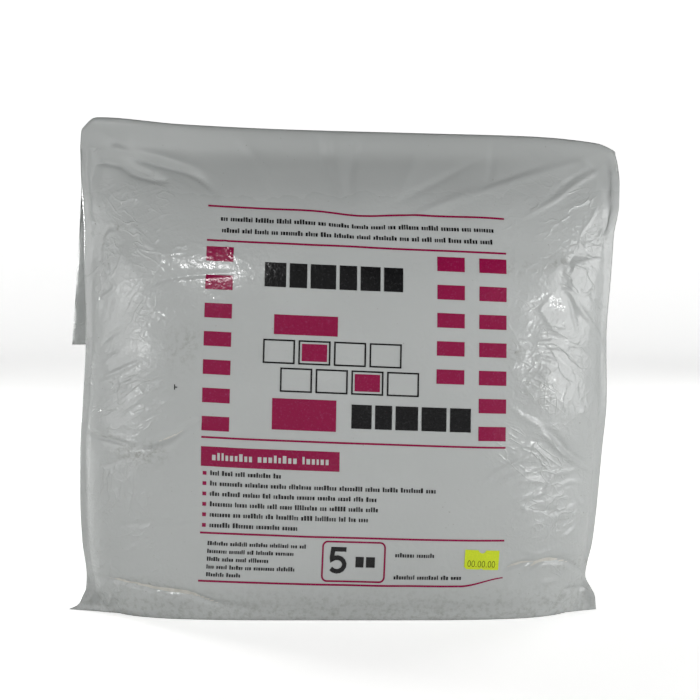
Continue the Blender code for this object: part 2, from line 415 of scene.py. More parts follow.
def make_mesh(name: str, points: np.ndarray, faces: Sequence, uv: Optional[np.ndarray] = None,
              smooth_angle: float = 180.0) -> bpy.types.Object:
    """Mesh object from arrays, smooth shaded, at the origin.

    Args:
        name: The object's name.
        points: Vertices in metres.
        faces: Vertex numbers of each face.
        uv: Optional place on the flat sheet for each vertex.
        smooth_angle: Degrees past which an edge stays sharp.

    Returns:
        The object, linked to the scene.
    """
    mesh = bpy.data.meshes.new(name)
    mesh.from_pydata(np.asarray(points).tolist(), [], [list(map(int, face)) for face in faces])
    mesh.update()
    if uv is not None:
        layer = mesh.uv_layers.new(name="sheet")
        corner = np.empty(len(mesh.loops), dtype=np.int32)
        mesh.loops.foreach_get("vertex_index", corner)
        layer.data.foreach_set("uv", np.asarray(uv, dtype=np.float32)[corner].ravel())
    mesh.shade_smooth()
    if smooth_angle < 180.0:
        mesh.set_sharp_from_angle(angle=math.radians(smooth_angle))
    thing = bpy.data.objects.new(name, mesh)
    bpy.context.scene.collection.objects.link(thing)
    return thing


@dataclass
class Drape:
    """Pulls the film onto the powder with Blender's cloth, at ten times real size.

    The mass is one vertex's, so it is small enough for the pressure to move the film. Bending
    is linear, because with the angular model the solver left the free film where it was. The
    core starts inside the film, clear of it even where its lumps rise. The cap is millimetres;
    core_skin and clearance are metres at the enlarged size.
    """

    enlarge: float = 10.0
    frames: int = 22
    steps: int = 8
    suck: float = 0.4
    cap: float = 5.0
    vertex_mass: float = 0.004
    air: float = 2.0
    stretch: float = 10.0
    shear: float = 5.0
    bending: float = 0.2
    friction: float = 8.0
    core_skin: float = 0.001
    clearance: float = 0.004

    def run(self, film: np.ndarray, faces: np.ndarray, pinned: np.ndarray, unstrained: np.ndarray,
            core: np.ndarray, core_faces: np.ndarray) -> np.ndarray:
        """Film's points after the cloth has settled.

        Args:
            film: Film's vertices, in millimetres.
            faces: Film's squares.
            pinned: How firmly each vertex is held, 0 to 1.
            unstrained: Where each vertex would be if its film had its own full length.
            core: Powder's vertices, in millimetres.
            core_faces: Powder's faces.

        Returns:
            New vertices in millimetres, none further than cap from where it was.
        """
        scale = self.enlarge * MM
        sheet = make_mesh("film_drape", film * scale, faces)
        body = make_mesh("powder_core", core * scale, core_faces)
        self.weigh(sheet, "pin", pinned)
        sheet.shape_key_add(name="as_cut_basis", from_mix=False)
        as_cut = sheet.shape_key_add(name="as_cut", from_mix=False)
        as_cut.data.foreach_set("co", (unstrained * scale).ravel())
        body.modifiers.new("collide", "COLLISION")
        body.collision.thickness_outer = self.core_skin
        body.collision.cloth_friction = self.friction
        cloth = sheet.modifiers.new("cloth", "CLOTH")
        rule = cloth.settings
        rule.quality = self.steps
        rule.mass = self.vertex_mass
        rule.air_damping = self.air
        rule.tension_stiffness = rule.compression_stiffness = self.stretch
        rule.shear_stiffness = self.shear
        rule.bending_model = "LINEAR"
        rule.bending_stiffness = self.bending
        rule.vertex_group_mass = "pin"
        rule.rest_shape_key = sheet.data.shape_keys.key_blocks["as_cut"]
        rule.use_pressure = True
        rule.uniform_pressure_force = -self.suck
        rule.effector_weights.gravity = 0.0
        cloth.collision_settings.distance_min = self.clearance
        cloth.collision_settings.use_self_collision = False
        scene = bpy.context.scene
        cloth.point_cache.frame_start, cloth.point_cache.frame_end = 1, self.frames
        for frame in range(1, self.frames + 1):
            scene.frame_set(frame)
        settled = sheet.evaluated_get(bpy.context.evaluated_depsgraph_get()).to_mesh()
        points = np.empty(len(film) * 3)
        settled.vertices.foreach_get("co", points)
        moved = points.reshape(-1, 3) / scale - film
        reach = np.linalg.norm(moved, axis=1, keepdims=True)
        LOG.info("cloth moved the film by %.2f mm on average, %.2f at most before the cap",
                 reach.mean(), reach.max())
        for thing in (sheet, body):
            bpy.data.objects.remove(thing, do_unlink=True)
        scene.frame_set(1)
        return film + moved * np.minimum(1.0, self.cap / np.maximum(reach, 1e-9))

    @staticmethod
    def weigh(thing: bpy.types.Object, name: str, weights: np.ndarray) -> None:
        """Vertex group with the given weights, in steps of a twentieth."""
        group = thing.vertex_groups.new(name=name)
        steps = np.round(np.clip(weights, 0, 1) * 20).astype(int)
        for step in np.unique(steps):
            group.add(np.flatnonzero(steps == step).tolist(), step / 20, "REPLACE")


@dataclass
class FilmSheet:
    """The film as two sheets of points that meet at the side folds, the weld and the mouth.

    The front sheet runs from the weld under the base, up the front, over the fold and down the
    outside of the flap. The back sheet lies behind it all the way. Sizes are millimetres, in the
    bag's own drawing frame.
    """

    form: BagForm
    base_rows: int = 3
    finer: int = 2
    spare_height: float = 0.035
    spare_width: float = 0.006
    spare_middle: float = 150.0
    spare_side: tuple[float, float] = (90.0, 165.0)
    spare_top: tuple[float, float] = (200.0, 290.0)
    held_below: float = 2.5
    held_ears: float = 0.9
    still_near_fold: float = 18.0
    core_inset: float = 1.6
    fill_inset: float = 3.0
    fill_top: float = 256.0
    powder_rings: int = 46
    powder_columns: int = 61
    lump_cells: tuple[float, float] = (46.0, 21.0)
    lump_heights: tuple[float, float] = (0.9, 0.4)
    sheet_width: float = 350.0
    sheet_length: float = 500.0
    map_size: float = 750.0
    front: np.ndarray = field(init=False)
    back: np.ndarray = field(init=False)
    rest: np.ndarray = field(init=False)

    def coarse(self, side: float) -> np.ndarray:
        """One whole sheet before it is draped: under the base, up the body, over and down."""
        form = self.form
        body = form.standing(form.standing_heights(), form.columns, side, form.skin)
        share = np.arange(self.base_rows)[:, None] / self.base_rows
        under = np.stack([np.repeat(body[:1, :, 0], self.base_rows, axis=0),
                          body[0, :, 1] * share, np.zeros_like(share) + 0 * body[0, :, 1]], axis=-1)
        return np.concatenate([under, body, form.folded(form.columns, side)])

    def build(self) -> None:
        """Work out both sheets, drape them on the powder and refine them."""
        front, back = self.coarse(-1.0), self.coarse(1.0)
        self.rest = self.fine_front(front)
        front, back = self.draped(front, back)
        self.front = self.fine_front(front)
        self.back = refine(back, self.finer, 0)

    def fine_front(self, grid: np.ndarray) -> np.ndarray:
        """Front sheet with finer rows and columns."""
        return refine(refine(grid, self.finer, 0), self.finer, 1)

    def draped(self, front: np.ndarray, back: np.ndarray) -> tuple[np.ndarray, np.ndarray]:
        """Both sheets after the cloth has pulled their standing part onto the powder.

        The film is held at the base, at the fold and at the tips of the corner ears. Its side
        folds are as long as its middle but stand in less height, so the film there is given
        spare height, and a little spare width near the top where the powder ends.
        """
        form = self.form
        rows, columns = self.base_rows + form.standing_rows, form.columns
        index = np.arange(rows * columns).reshape(rows, columns)
        inner = np.arange(rows * (columns - 2)).reshape(rows, columns - 2) + index.size
        other = np.hstack([index[:, :1], inner, index[:, -1:]])
        other[0] = index[0]
        points = np.concatenate([front[:rows].reshape(-1, 3), back[:rows, 1:-1].reshape(-1, 3)])
        faces = np.concatenate([grid_faces(index), grid_faces(other)[:, ::-1]])
        x, z = points[:, 0], points[:, 2]
        top = np.abs(z - form.fold_start(x)) < 1.0
        ears = in_ears(x, z, (158.0, 166.0), (12.0, 26.0))
        base = (z < self.held_below).astype(float)
        pinned = np.maximum.reduce([base, top.astype(float), self.held_ears * ears])
        uneven = 1 + 0.6 * lattice_noise(points, 55.0, 61)
        spare = self.spare_height * ramp(np.abs(x), *self.spare_side) * uneven
        unstrained = points.copy()
        unstrained[:, 2] = (z - self.spare_middle) * (1 + spare) + self.spare_middle
        unstrained[:, 0] = x * (1 + self.spare_width * ramp(z, *self.spare_top))
        core, core_faces = self.powder(self.core_inset, CUTS[-1].height)
        moved = Drape().run(points, faces, pinned, unstrained, core, core_faces) - points
        front, back = front.copy(), back.copy()
        last = CUTS[-1].height
        near_fold = 1 - ramp(form.standing_heights(), last - self.still_near_fold, last)
        fade = np.concatenate([np.ones(self.base_rows), near_fold])[:, None, None]
        front[:rows] += self.calmed(moved[index]) * fade
        back[:rows] += self.calmed(moved[other]) * fade
        return front, back

    @staticmethod
    def calmed(moves: np.ndarray) -> np.ndarray:
        """Moves of a sheet, averaged once with their neighbours and held back at the side folds.

        Each move becomes half itself and a quarter of both neighbours, along both axes. At the
        folded sides three quarters of it is taken away, so the bag's outline holds.
        """
        for axis in (0, 1):
            inner = np.moveaxis(moves, axis, 0).copy()
            inner[1:-1] = 0.5 * inner[1:-1] + 0.25 * (inner[:-2] + inner[2:])
            moves = np.moveaxis(inner, 0, axis)
        edge = np.linspace(0, 1, moves.shape[1])
        hold = 0.25 + 0.75 * ramp(np.minimum(edge, 1 - edge), 0.0, 0.045)
        return moves * hold[None, :, None]

    def powder(self, inset: float, top: float) -> tuple[np.ndarray, list]:
        """Closed surface of the powder, with soft lumps: both halves of a loft and two lids.

        Each ring is the bag's own hump, its depth and its reach made smaller by the inset. The
        lumps are two octaves of smooth noise, and fade where the powder is thin.

        Args:
            inset: How far the surface lies inside the powder's solid.
            top: Height of the last ring.

        Returns:
            Points in millimetres and faces.
        """
        heights = np.linspace(0.0, top, self.powder_rings)
        value = self.form.cut_values(heights)
        across = np.sin(np.linspace(-math.pi / 2, math.pi / 2, self.powder_columns))[None, :]
        x = across * (np.where(across < 0, value["fill_left"], value["fill_right"]) - inset)
        hump = (1 - np.abs(across) ** value["power"]) ** value["blunt"]
        half = np.maximum(value["depth"] / 2 - inset, 0.3) * hump + 0.02
        z = self.form.lifted(heights, x)
        place = np.stack([x, 0 * x, z], axis=-1)
        lump = (self.lump_heights[0] * lattice_noise(place, self.lump_cells[0], 3)
                + self.lump_heights[1] * lattice_noise(place, self.lump_cells[1], 8))
        half = half + lump * ramp(half, 4.0, 18.0)
        front = np.stack([x, value["spine"] - half, z], axis=-1)
        back = np.stack([x, value["spine"] + half, z], axis=-1)
        ring = np.concatenate([front, back[:, -2:0:-1]], axis=1)
        ring[0, :, 2] = 1.0
        index = np.arange(ring.shape[0] * ring.shape[1]).reshape(ring.shape[:2])
        wrapped = np.hstack([index, index[:, :1]])
        faces = grid_faces(wrapped).tolist()
        faces += [index[0, ::-1].tolist(), index[-1].tolist()]
        return ring.reshape(-1, 3), faces

    def body_rows(self) -> int:
        """Rows of the fine sheets from the weld up to the fold."""
        return (self.base_rows + self.form.standing_rows) * self.finer

    def crease(self, height: np.ndarray, first: int = 0) -> None:
        """Move the front sheet along its own normals by a height in millimetres.

        Args:
            height: Height at each point, for rows from the first one on.
            first: First row that moves.
        """
        last = first + height.shape[0]
        hold = np.sin(np.linspace(0, math.pi, self.front.shape[1])) ** 0.3
        normal = grid_normals(self.front)[first:last]
        self.front[first:last] += normal * (height * hold[None, :])[..., None]

    def crease_back(self, height: np.ndarray) -> None:
        """Move the back sheet's first rows outwards, along its own normals."""
        last = height.shape[0]
        hold = np.sin(np.linspace(0, math.pi, self.back.shape[1])) ** 0.3
        self.back[:last] -= grid_normals(self.back)[:last] * (height * hold[None, :])[..., None]

    def mesh(self, name: str, shift: np.ndarray) -> bpy.types.Object:
        """One closed mesh of both sheets, stitched at the sides, the weld and the mouth."""
        rows, columns = self.front.shape[:2]
        index = np.arange(rows * columns).reshape(rows, columns)
        inner = np.arange((rows - 1) * (self.back.shape[1] - 2)).reshape(rows - 1, -1) + index.size
        other = np.hstack([index[1:, :1], inner, index[1:, -1:]])
        points = np.concatenate([self.front.reshape(-1, 3), self.back[1:, 1:-1].reshape(-1, 3)])
        faces = grid_faces(index).tolist() + grid_faces(other)[:, ::-1].tolist()
        for k in range(other.shape[1] - 1):
            a, b, c = index[0, 2 * k:2 * k + 3]
            faces.append([a, other[0, k], other[0, k + 1], c, b])
            a, b, c = index[-1, 2 * k:2 * k + 3]
            faces.append([a, b, c, other[-1, k + 1], other[-1, k]])
        uv = np.concatenate([self.flat(rows, columns, 0.0).reshape(-1, 2),
                             self.flat(rows, self.back.shape[1], 0.5)[1:, 1:-1].reshape(-1, 2)])
        return make_mesh(name, (points + shift) * MM, faces, uv)

    @staticmethod
    def per_vertex(front: np.ndarray, back: np.ndarray) -> np.ndarray:
        """Values of both sheets in the order of the finished mesh's vertices."""
        return np.concatenate([front.ravel(), back[1:, 1:-1].ravel()])

    def flat(self, rows: int, columns: int, start: float) -> np.ndarray:
        """Places on the flat film as a map, where 1 is map_size both ways."""
        across = np.linspace(0, self.sheet_width / self.map_size, columns)
        along = np.linspace(0, self.sheet_length / self.map_size, rows)
        return np.stack(np.broadcast_arrays(start + across[None, :], along[:, None]), axis=-1)

    def spot(self, grid: np.ndarray, row: np.ndarray, column: np.ndarray) -> np.ndarray:
        """Point of a grid at a row and column that need not be whole: the four corners blended."""
        row = np.clip(row, 0, grid.shape[0] - 1.001)
        column = np.clip(column, 0, grid.shape[1] - 1.001)
        r, c = row.astype(int), column.astype(int)
        u, v = (row - r)[..., None], (column - c)[..., None]
        return ((grid[r, c] * (1 - v) + grid[r, c + 1] * v) * (1 - u)
                + (grid[r + 1, c] * (1 - v) + grid[r + 1, c + 1] * v) * u)

    def find(self, x: np.ndarray, z: np.ndarray) -> tuple[np.ndarray, np.ndarray]:
        """Row and column of the front sheet for places seen straight on.

        Both are corrected in turn by what is still missing, divided by the local spacing.
        """
        rows, columns = self.rest.shape[:2]
        first = self.base_rows * self.finer
        last = first + (self.form.standing_rows - 1) * self.finer
        row = first + (last - first) * np.clip(np.asarray(z, dtype=float) / CUTS[-1].height, 0, 1)
        column = (columns - 1) * np.clip((np.asarray(x, dtype=float) + 170.0) / 340.0, 0, 1)
        for _ in range(12):
            here = self.spot(self.rest, row, column)
            up = self.spot(self.rest, row + 1, column) - here
            along = self.spot(self.rest, row, column + 1) - here
            rise, run = np.maximum(up[..., 2], 0.2), np.maximum(along[..., 0], 0.1)
            row = np.clip(row + (z - here[..., 2]) / rise, first, last)
            column = np.clip(column + (x - here[..., 0]) / run, 1, columns - 3)
        return row, column

    @cached_property
    def normals(self) -> np.ndarray:
        """Unit normals of the front, read only once every crease is in it."""
        return grid_normals(self.front)

    def lay(self, x: np.ndarray, z: np.ndarray, proud: float) -> np.ndarray:
        """Points on the finished front at places seen straight on, standing proud by a little."""
        row, column = self.find(x, z)
        return self.spot(self.front, row, column) + self.spot(self.normals, row, column) * proud


@dataclass
class PhotoView:
    """The photograph's camera: 0.9 m from the bag's middle plane, looking 5 degrees down."""

    middle: tuple[float, float, float] = (2.5, 0.0, 168.0)
    distance: float = 900.0
    elevation: float = math.radians(5.0)
    scale: float = 0.635
    frame: float = 700.0

    def back(self) -> np.ndarray:
        """Direction from the bag to the camera."""
        return np.array([0.0, -math.cos(self.elevation), math.sin(self.elevation)])

    def eye(self) -> np.ndarray:
        """The camera's place, in millimetres."""
        return np.array(self.middle) + self.back() * self.distance

    def front_y(self, x: float, z: float, form: BagForm) -> float:
        """Depth of the smooth front at a place seen straight on."""
        columns = form.cut_values(np.array([z]))
        value = {name: float(column[0, 0]) for name, column in columns.items()}
        reach = value["fill_left"] if x < 0 else value["fill_right"]
        round_off = max(0.0, 1 - min(1.0, abs(x) / (reach + form.skin)) ** value["power"])
        return value["spine"] - value["depth"] / 2 * round_off ** value["blunt"] - form.skin

    def on_front(self, pixel: tuple[float, float], form: BagForm) -> tuple[float, float]:
        """Where the line of sight through a pixel meets the bag's smooth front."""
        focal = self.distance / self.scale
        ahead = -self.back()
        up = np.array([0.0, -ahead[2], ahead[1]])
        half = self.frame / 2
        ray = ahead * focal + np.array([1.0, 0, 0]) * (pixel[0] - half) + up * (half - pixel[1])
        y = -20.0
        for _ in range(8):
            spot = self.eye() + ray * ((y - self.eye()[1]) / ray[1])
            y = self.front_y(spot[0], min(max(spot[2], 0.0), CUTS[-1].height), form)
        return float(spot[0]), float(spot[2])

    def make_camera(self, shift: np.ndarray) -> None:
        """Blender camera at the photograph's place."""
        data = bpy.data.cameras.new("camera")
        data.sensor_width = 36.0
        data.lens = self.distance / self.scale * data.sensor_width / self.frame
        eye = bpy.data.objects.new("camera", data)
        eye.location = Vector((self.eye() + shift) * MM)
        eye.rotation_euler = Vector(self.back()).to_track_quat("Z", "Y").to_euler()
        bpy.context.scene.collection.objects.link(eye)
        bpy.context.scene.camera = eye


@dataclass(frozen=True)
class SeenFold:
    """A crease as the photograph shows it: pixels along it, and its size in millimetres."""

    pixels: tuple[tuple[float, float], ...]
    height: float
    width: float
    lean: float = 0.0

    def crease(self, view: PhotoView, form: BagForm) -> Crease:
        """The same crease on the bag's front."""
        points = tuple(view.on_front(pixel, form) for pixel in self.pixels)
        return Crease(points, self.height, self.width, self.lean)


class Run(Enum):
    """Ways in which the slack film's crinkles run, in degrees above the horizontal."""

    FALLING = -32.0
    RISING = 24.0
    STEEP = 68.0

    @property
    def mask(self) -> str:
        """Name of the mesh attribute that says where these crinkles are."""
        return "crinkles_" + self.name.lower()


@dataclass(frozen=True)
class LoosePatch:
    """Part of the front where spare film crinkles, placed by pixels of the photograph.

    The wrinkle lines run one way. The film between them stays smooth, and each line is a sharp
    crest.
    """

    middle: tuple[float, float]
    reach: tuple[float, float]
    run: Run
    cell: float
    height: float
    seed: int

    def turned(self, x: np.ndarray, z: np.ndarray, view: PhotoView,
               form: BagForm) -> tuple[np.ndarray, ...]:
        """Places along and across the patch's wrinkle lines, from its middle."""
        at = view.on_front(self.middle, form)
        angle = math.radians(self.run.value)
        dx, dz = x - at[0], z - at[1]
        along = dx * math.cos(angle) + dz * math.sin(angle)
        return along, dz * math.cos(angle) - dx * math.sin(angle)

    def window(self, x: np.ndarray, z: np.ndarray, view: PhotoView, form: BagForm) -> np.ndarray:
        """Share of the patch at each place: a bell over its reach along and across the lines."""
        along, across = self.turned(x, z, view, form)
        half_long, half_wide = self.reach[0] * view.scale, self.reach[1] * view.scale
        far = (along / half_long) ** 2 + (across / half_wide) ** 2
        return np.exp(-far ** 1.5)

    def lift(self, x: np.ndarray, z: np.ndarray, view: PhotoView, form: BagForm) -> np.ndarray:
        """Height of the crinkles: minus the size of a warped noise, so that its zero is a crest.

        The place along the lines is shrunk 2.4 times, which draws the cells out along them. A
        finer octave at 0.45 of the cell adds half as much again.
        """
        along, across = self.turned(x, z, view, form)
        here = np.stack([along, across, np.zeros_like(along)], axis=-1)
        along = along / 2.4 + 0.5 * self.cell * lattice_noise(here, self.cell * 2.1, self.seed + 1)
        across = across + 0.6 * self.cell * lattice_noise(here, self.cell * 2.6, self.seed + 2)
        place = np.stack([along, across, np.zeros_like(along)], axis=-1)
        coarse = np.abs(lattice_noise(place, self.cell, self.seed))
        fine = np.abs(lattice_noise(place, self.cell * 0.45, self.seed + 3))
        return self.window(x, z, view, form) * self.height * (0.75 - 1.6 * coarse - 0.5 * fine)


@dataclass(frozen=True)
class Smudge:
    """Faint dirty place on the film: middle and reach in pixels, and strength."""

    middle: tuple[float, float]
    reach: tuple[float, float]
    strength: float

    def mark(self, x: np.ndarray, z: np.ndarray, view: PhotoView, form: BagForm) -> np.ndarray:
        """Strength of the dirt at each place, as a bell."""
        at = view.on_front(self.middle, form)
        half_wide, half_tall = self.reach[0] * view.scale, self.reach[1] * view.scale
        far = ((x - at[0]) / half_wide) ** 2 + ((z - at[1]) / half_tall) ** 2
        return self.strength * np.exp(-far)


TUCKS = (
    SeenFold(((86, 160), (104, 163), (121, 166), (134, 175), (162, 183)), -3.4, 2.9, 0.7),
    SeenFold(((136, 160), (162, 166), (188, 173), (208, 186), (222, 201)), -2.8, 2.6, 0.7),
    SeenFold(((128, 172), (150, 178), (172, 184)), -2.1, 3.4, 0.5),
    SeenFold(((85, 142), (120, 150), (165, 158), (215, 176)), 1.2, 6.0, 0.3),
    SeenFold(((86, 122), (130, 150), (180, 176), (222, 202)), -0.9, 6.5),
)
TOP_FOLDS = (
    SeenFold(((318, 134), (322, 158), (332, 184), (346, 206)), -1.3, 3.4),
    SeenFold(((335, 134), (337, 160), (343, 186), (350, 206)), 1.2, 3.0),
    SeenFold(((358, 134), (353, 158), (350, 186), (352, 208)), -1.1, 3.6),
    SeenFold(((493, 138), (492, 165), (486, 190)), -0.8, 3.5),
    SeenFold(((390, 228), (440, 206), (500, 186), (560, 168), (598, 154)), 1.2, 6.0, -0.3),
    SeenFold(((392, 206), (430, 186), (480, 160)), -0.8, 5.0),
    SeenFold(((460, 200), (510, 178), (545, 165)), -0.7, 4.0),
    SeenFold(((602, 168), (580, 182), (556, 200), (520, 220)), 1.2, 2.6, 0.4),
    SeenFold(((592, 168), (572, 180), (545, 202)), -1.0, 2.2),
    SeenFold(((596, 198), (582, 204), (562, 212)), 0.9, 1.8, 0.4),
    SeenFold(((598, 206), (590, 222), (582, 234)), 1.0, 1.5),
    SeenFold(((240, 140), (262, 165), (276, 196)), 0.7, 6.0),
    SeenFold(((420, 138), (412, 166), (398, 200)), 0.5, 6.0),
)
LEFT_FOLDS = (
    SeenFold(((211, 230), (220, 237), (227, 247), (232, 255), (246, 263)), 0.8, 1.5, 0.3),
    SeenFold(((116, 231), (104, 240), (103, 262), (108, 280)), 0.8, 2.0, 0.4),
    SeenFold(((119, 226), (106, 232), (101, 252)), -0.5, 1.8),
    SeenFold(((108, 262), (106, 276), (113, 288), (98, 303), (96, 322)), 1.3, 1.9, 0.5),
    SeenFold(((122, 218), (136, 232), (146, 246), (172, 257)), 0.8, 1.8, 0.3),
    SeenFold(((126, 188), (133, 196), (139, 204)), 0.7, 1.6),
    SeenFold(((157, 252), (161, 262), (156, 272)), 0.8, 1.6),
    SeenFold(((140, 296), (156, 284), (172, 279), (202, 276), (240, 274)), -1.0, 2.6, 0.5),
    SeenFold(((148, 302), (160, 318), (172, 328)), 0.6, 2.2),
    SeenFold(((98, 350), (110, 337), (126, 328)), -0.9, 2.4, 0.4),
    SeenFold(((92, 384), (112, 376), (128, 368), (142, 362)), 1.2, 1.5, 0.4),
    SeenFold(((88, 372), (104, 364), (118, 352), (128, 346)), 0.7, 2.0),
    SeenFold(((108, 392), (128, 383), (144, 374)), 0.8, 1.4),
    SeenFold(((118, 418), (138, 402), (152, 392), (168, 384)), 1.0, 1.6, 0.4),
    SeenFold(((96, 408), (112, 396), (124, 390)), -0.8, 2.0),
    SeenFold(((122, 424), (140, 418), (156, 404)), 0.6, 1.4),
    SeenFold(((150, 412), (165, 404), (176, 392)), 0.6, 1.6),
)
LOW_LEFT_FOLDS = (
    SeenFold(((86, 431), (96, 438), (112, 442), (130, 447)), -2.5, 2.2, 0.6),
    SeenFold(((92, 436), (112, 438), (130, 444), (140, 450)), 1.0, 1.6),
    SeenFold(((126, 452), (150, 446), (172, 438), (196, 424), (212, 420)), -2.0, 3.0, 0.6),
    SeenFold(((138, 462), (150, 452), (168, 448), (182, 436)), 1.1, 2.6, -0.4),
    SeenFold(((96, 470), (120, 462), (146, 456)), -1.0, 2.4),
    SeenFold(((104, 532), (134, 526), (170, 524), (206, 520)), -0.8, 2.2, 0.4),
    SeenFold(((100, 556), (116, 556), (140, 546), (160, 540)), 0.7, 1.6),
    SeenFold(((106, 566), (118, 572), (124, 582)), 1.1, 1.7, 0.4),
    SeenFold(((84, 579), (108, 581), (130, 586), (156, 592), (188, 597), (228, 612)), -2.9, 2.6, 0.6),
    SeenFold(((116, 582), (136, 578), (160, 578)), 0.8, 1.4),
    SeenFold(((160, 592), (180, 594), (200, 598)), -1.2, 1.8),
    SeenFold(((114, 592), (110, 600), (107, 610)), 1.7, 2.6),
    SeenFold(((122, 590), (117, 602), (114, 614)), -1.5, 3.2),
    SeenFold(((98, 588), (92, 598), (80, 608)), 1.4, 4.5),
    SeenFold(((186, 600), (220, 606), (262, 614)), -1.2, 5.0),
)
RIGHT_FOLDS = (
    SeenFold(((612, 226), (605, 238), (600, 248)), -1.4, 3.0),
    SeenFold(((576, 256), (571, 264), (572, 274)), -1.4, 2.0, 0.5),
    SeenFold(((610, 262), (592, 262), (576, 266), (572, 276)), 1.2, 2.0, 0.4),
    SeenFold(((560, 272), (566, 280), (572, 290)), -1.8, 2.2, 0.6),
    SeenFold(((558, 290), (570, 294), (576, 304), (590, 322), (606, 346)), 1.7, 2.2, 0.6),
    SeenFold(((564, 292), (573, 306), (578, 330)), -1.7, 3.4, 0.5),
    SeenFold(((590, 296), (598, 304), (606, 312)), -1.1, 1.6),
    SeenFold(((539, 309), (548, 322), (556, 334), (566, 340)), 1.1, 1.5, 0.4),
    SeenFold(((551, 302), (545, 306), (540, 312)), 0.8, 1.4),
    SeenFold(((528, 330), (540, 334), (556, 332), (572, 338)), 0.8, 1.3, 0.3),
    SeenFold(((530, 342), (548, 344), (566, 342)), 1.0, 1.3, 0.4),
    SeenFold(((536, 352), (552, 352), (568, 356)), 1.0, 1.3, -0.4),
    SeenFold(((532, 358), (545, 360), (560, 366)), 1.3, 1.5, 0.5),
    SeenFold(((538, 374), (545, 378), (550, 384)), 1.1, 1.3),
    SeenFold(((606, 342), (590, 340), (578, 348)), 0.7, 1.8),
    SeenFold(((596, 398), (588, 410), (578, 416)), 1.0, 2.4),
    SeenFold(((588, 420), (596, 424), (600, 432)), -0.8, 1.6),
)
LOW_RIGHT_FOLDS = (
    SeenFold(((508, 404), (522, 418), (536, 426), (548, 436), (556, 446)), 1.3, 1.5, 0.4),
    SeenFold(((532, 432), (548, 440), (560, 452), (576, 464), (594, 474)), 2.0, 1.9, 0.6),
    SeenFold(((540, 428), (556, 438), (570, 454), (588, 466)), -2.0, 2.2),
    SeenFold(((518, 446), (530, 448), (544, 458), (548, 466), (540, 470)), 1.2, 1.4, 0.4),
    SeenFold(((482, 484), (500, 472), (522, 462), (534, 458), (538, 464)), 1.3, 1.7, 0.5),
    SeenFold(((494, 487), (508, 480), (526, 474), (540, 470)), 1.0, 1.5, 0.4),
    SeenFold(((516, 492), (528, 482), (546, 484), (552, 478)), 1.0, 1.4),
    SeenFold(((512, 504), (528, 500), (546, 494), (551, 484), (556, 476), (590, 470)), 1.3, 1.5, 0.4),
    SeenFold(((556, 492), (572, 484), (590, 486)), 0.9, 2.0),
    SeenFold(((514, 512), (520, 508), (526, 512), (522, 518), (514, 517)), 1.2, 1.3),
    SeenFold(((556, 524), (562, 518), (574, 516), (584, 506)), 1.2, 1.4, 0.4),
    SeenFold(((562, 540), (572, 532), (580, 522)), 1.0, 1.5),
    SeenFold(((530, 508), (546, 512), (560, 514)), -1.1, 1.8),
    SeenFold(((576, 490), (580, 502), (588, 510)), 0.9, 1.8),
    SeenFold(((500, 575), (512, 569), (528, 565), (540, 564)), -2.9, 2.1, 0.7),
    SeenFold(((516, 580), (530, 571), (546, 563), (566, 564), (586, 577)), -3.1, 2.1, 0.7),
    SeenFold(((534, 566), (556, 560), (590, 558)), -1.3, 2.0, 0.4),
    SeenFold(((520, 552), (540, 556), (558, 548)), 0.8, 1.5),
    SeenFold(((596, 582), (580, 588), (568, 592), (562, 600), (552, 611)), -2.5, 2.4, 0.6),
    SeenFold(((538, 590), (546, 584), (560, 582)), 1.2, 2.2),
    SeenFold(((545, 598), (552, 604), (548, 612)), 1.0, 1.8),
    SeenFold(((500, 600), (508, 590), (514, 582)), 0.7, 3.0),
    SeenFold(((588, 580), (590, 592), (596, 606)), 1.2, 3.0),
)
LOOSE_PATCHES = (
    LoosePatch((552, 352), (52, 44), Run.FALLING, 9.0, 0.50, 21),
    LoosePatch((556, 515), (50, 48), Run.RISING, 8.0, 0.50, 22),
    LoosePatch((540, 458), (44, 36), Run.FALLING, 9.0, 0.43, 23),
    LoosePatch((578, 280), (40, 46), Run.FALLING, 10.0, 0.45, 24),
    LoosePatch((560, 205), (60, 30), Run.RISING, 10.0, 0.32, 25),
    LoosePatch((590, 410), (26, 46), Run.STEEP, 10.0, 0.41, 26),
    LoosePatch((570, 588), (48, 22), Run.FALLING, 9.0, 0.56, 27),
    LoosePatch((122, 395), (52, 46), Run.RISING, 10.0, 0.43, 28),
    LoosePatch((118, 285), (34, 60), Run.STEEP, 10.0, 0.43, 29),
    LoosePatch((140, 235), (60, 34), Run.FALLING, 11.0, 0.34, 30),
    LoosePatch((112, 480), (34, 50), Run.STEEP, 12.0, 0.30, 31),
    LoosePatch((128, 562), (50, 26), Run.RISING, 9.0, 0.43, 32),
    LoosePatch((112, 598), (34, 20), Run.STEEP, 9.0, 0.56, 33),
    LoosePatch((150, 170), (60, 26), Run.FALLING, 12.0, 0.36, 34),
)
SMUDGES = (
    Smudge((140, 455), (22, 9), 0.9),
    Smudge((112, 438), (22, 4), 0.4),
    Smudge((546, 386), (18, 26), 0.35),
    Smudge((561, 264), (12, 8), 0.6),
    Smudge((512, 268), (30, 8), 0.35),
    Smudge((178, 350), (14, 22), 0.35),
    Smudge((516, 353), (7, 9), 0.6),
    Smudge((529, 385), (6, 12), 0.6),
    Smudge((190, 343), (9, 16), 0.45),
    Smudge((118, 229), (8, 4), 0.7),
    Smudge((576, 565), (30, 5), 0.5),
    Smudge((572, 600), (10, 8), 0.4),
    Smudge((140, 586), (34, 5), 0.5),
)


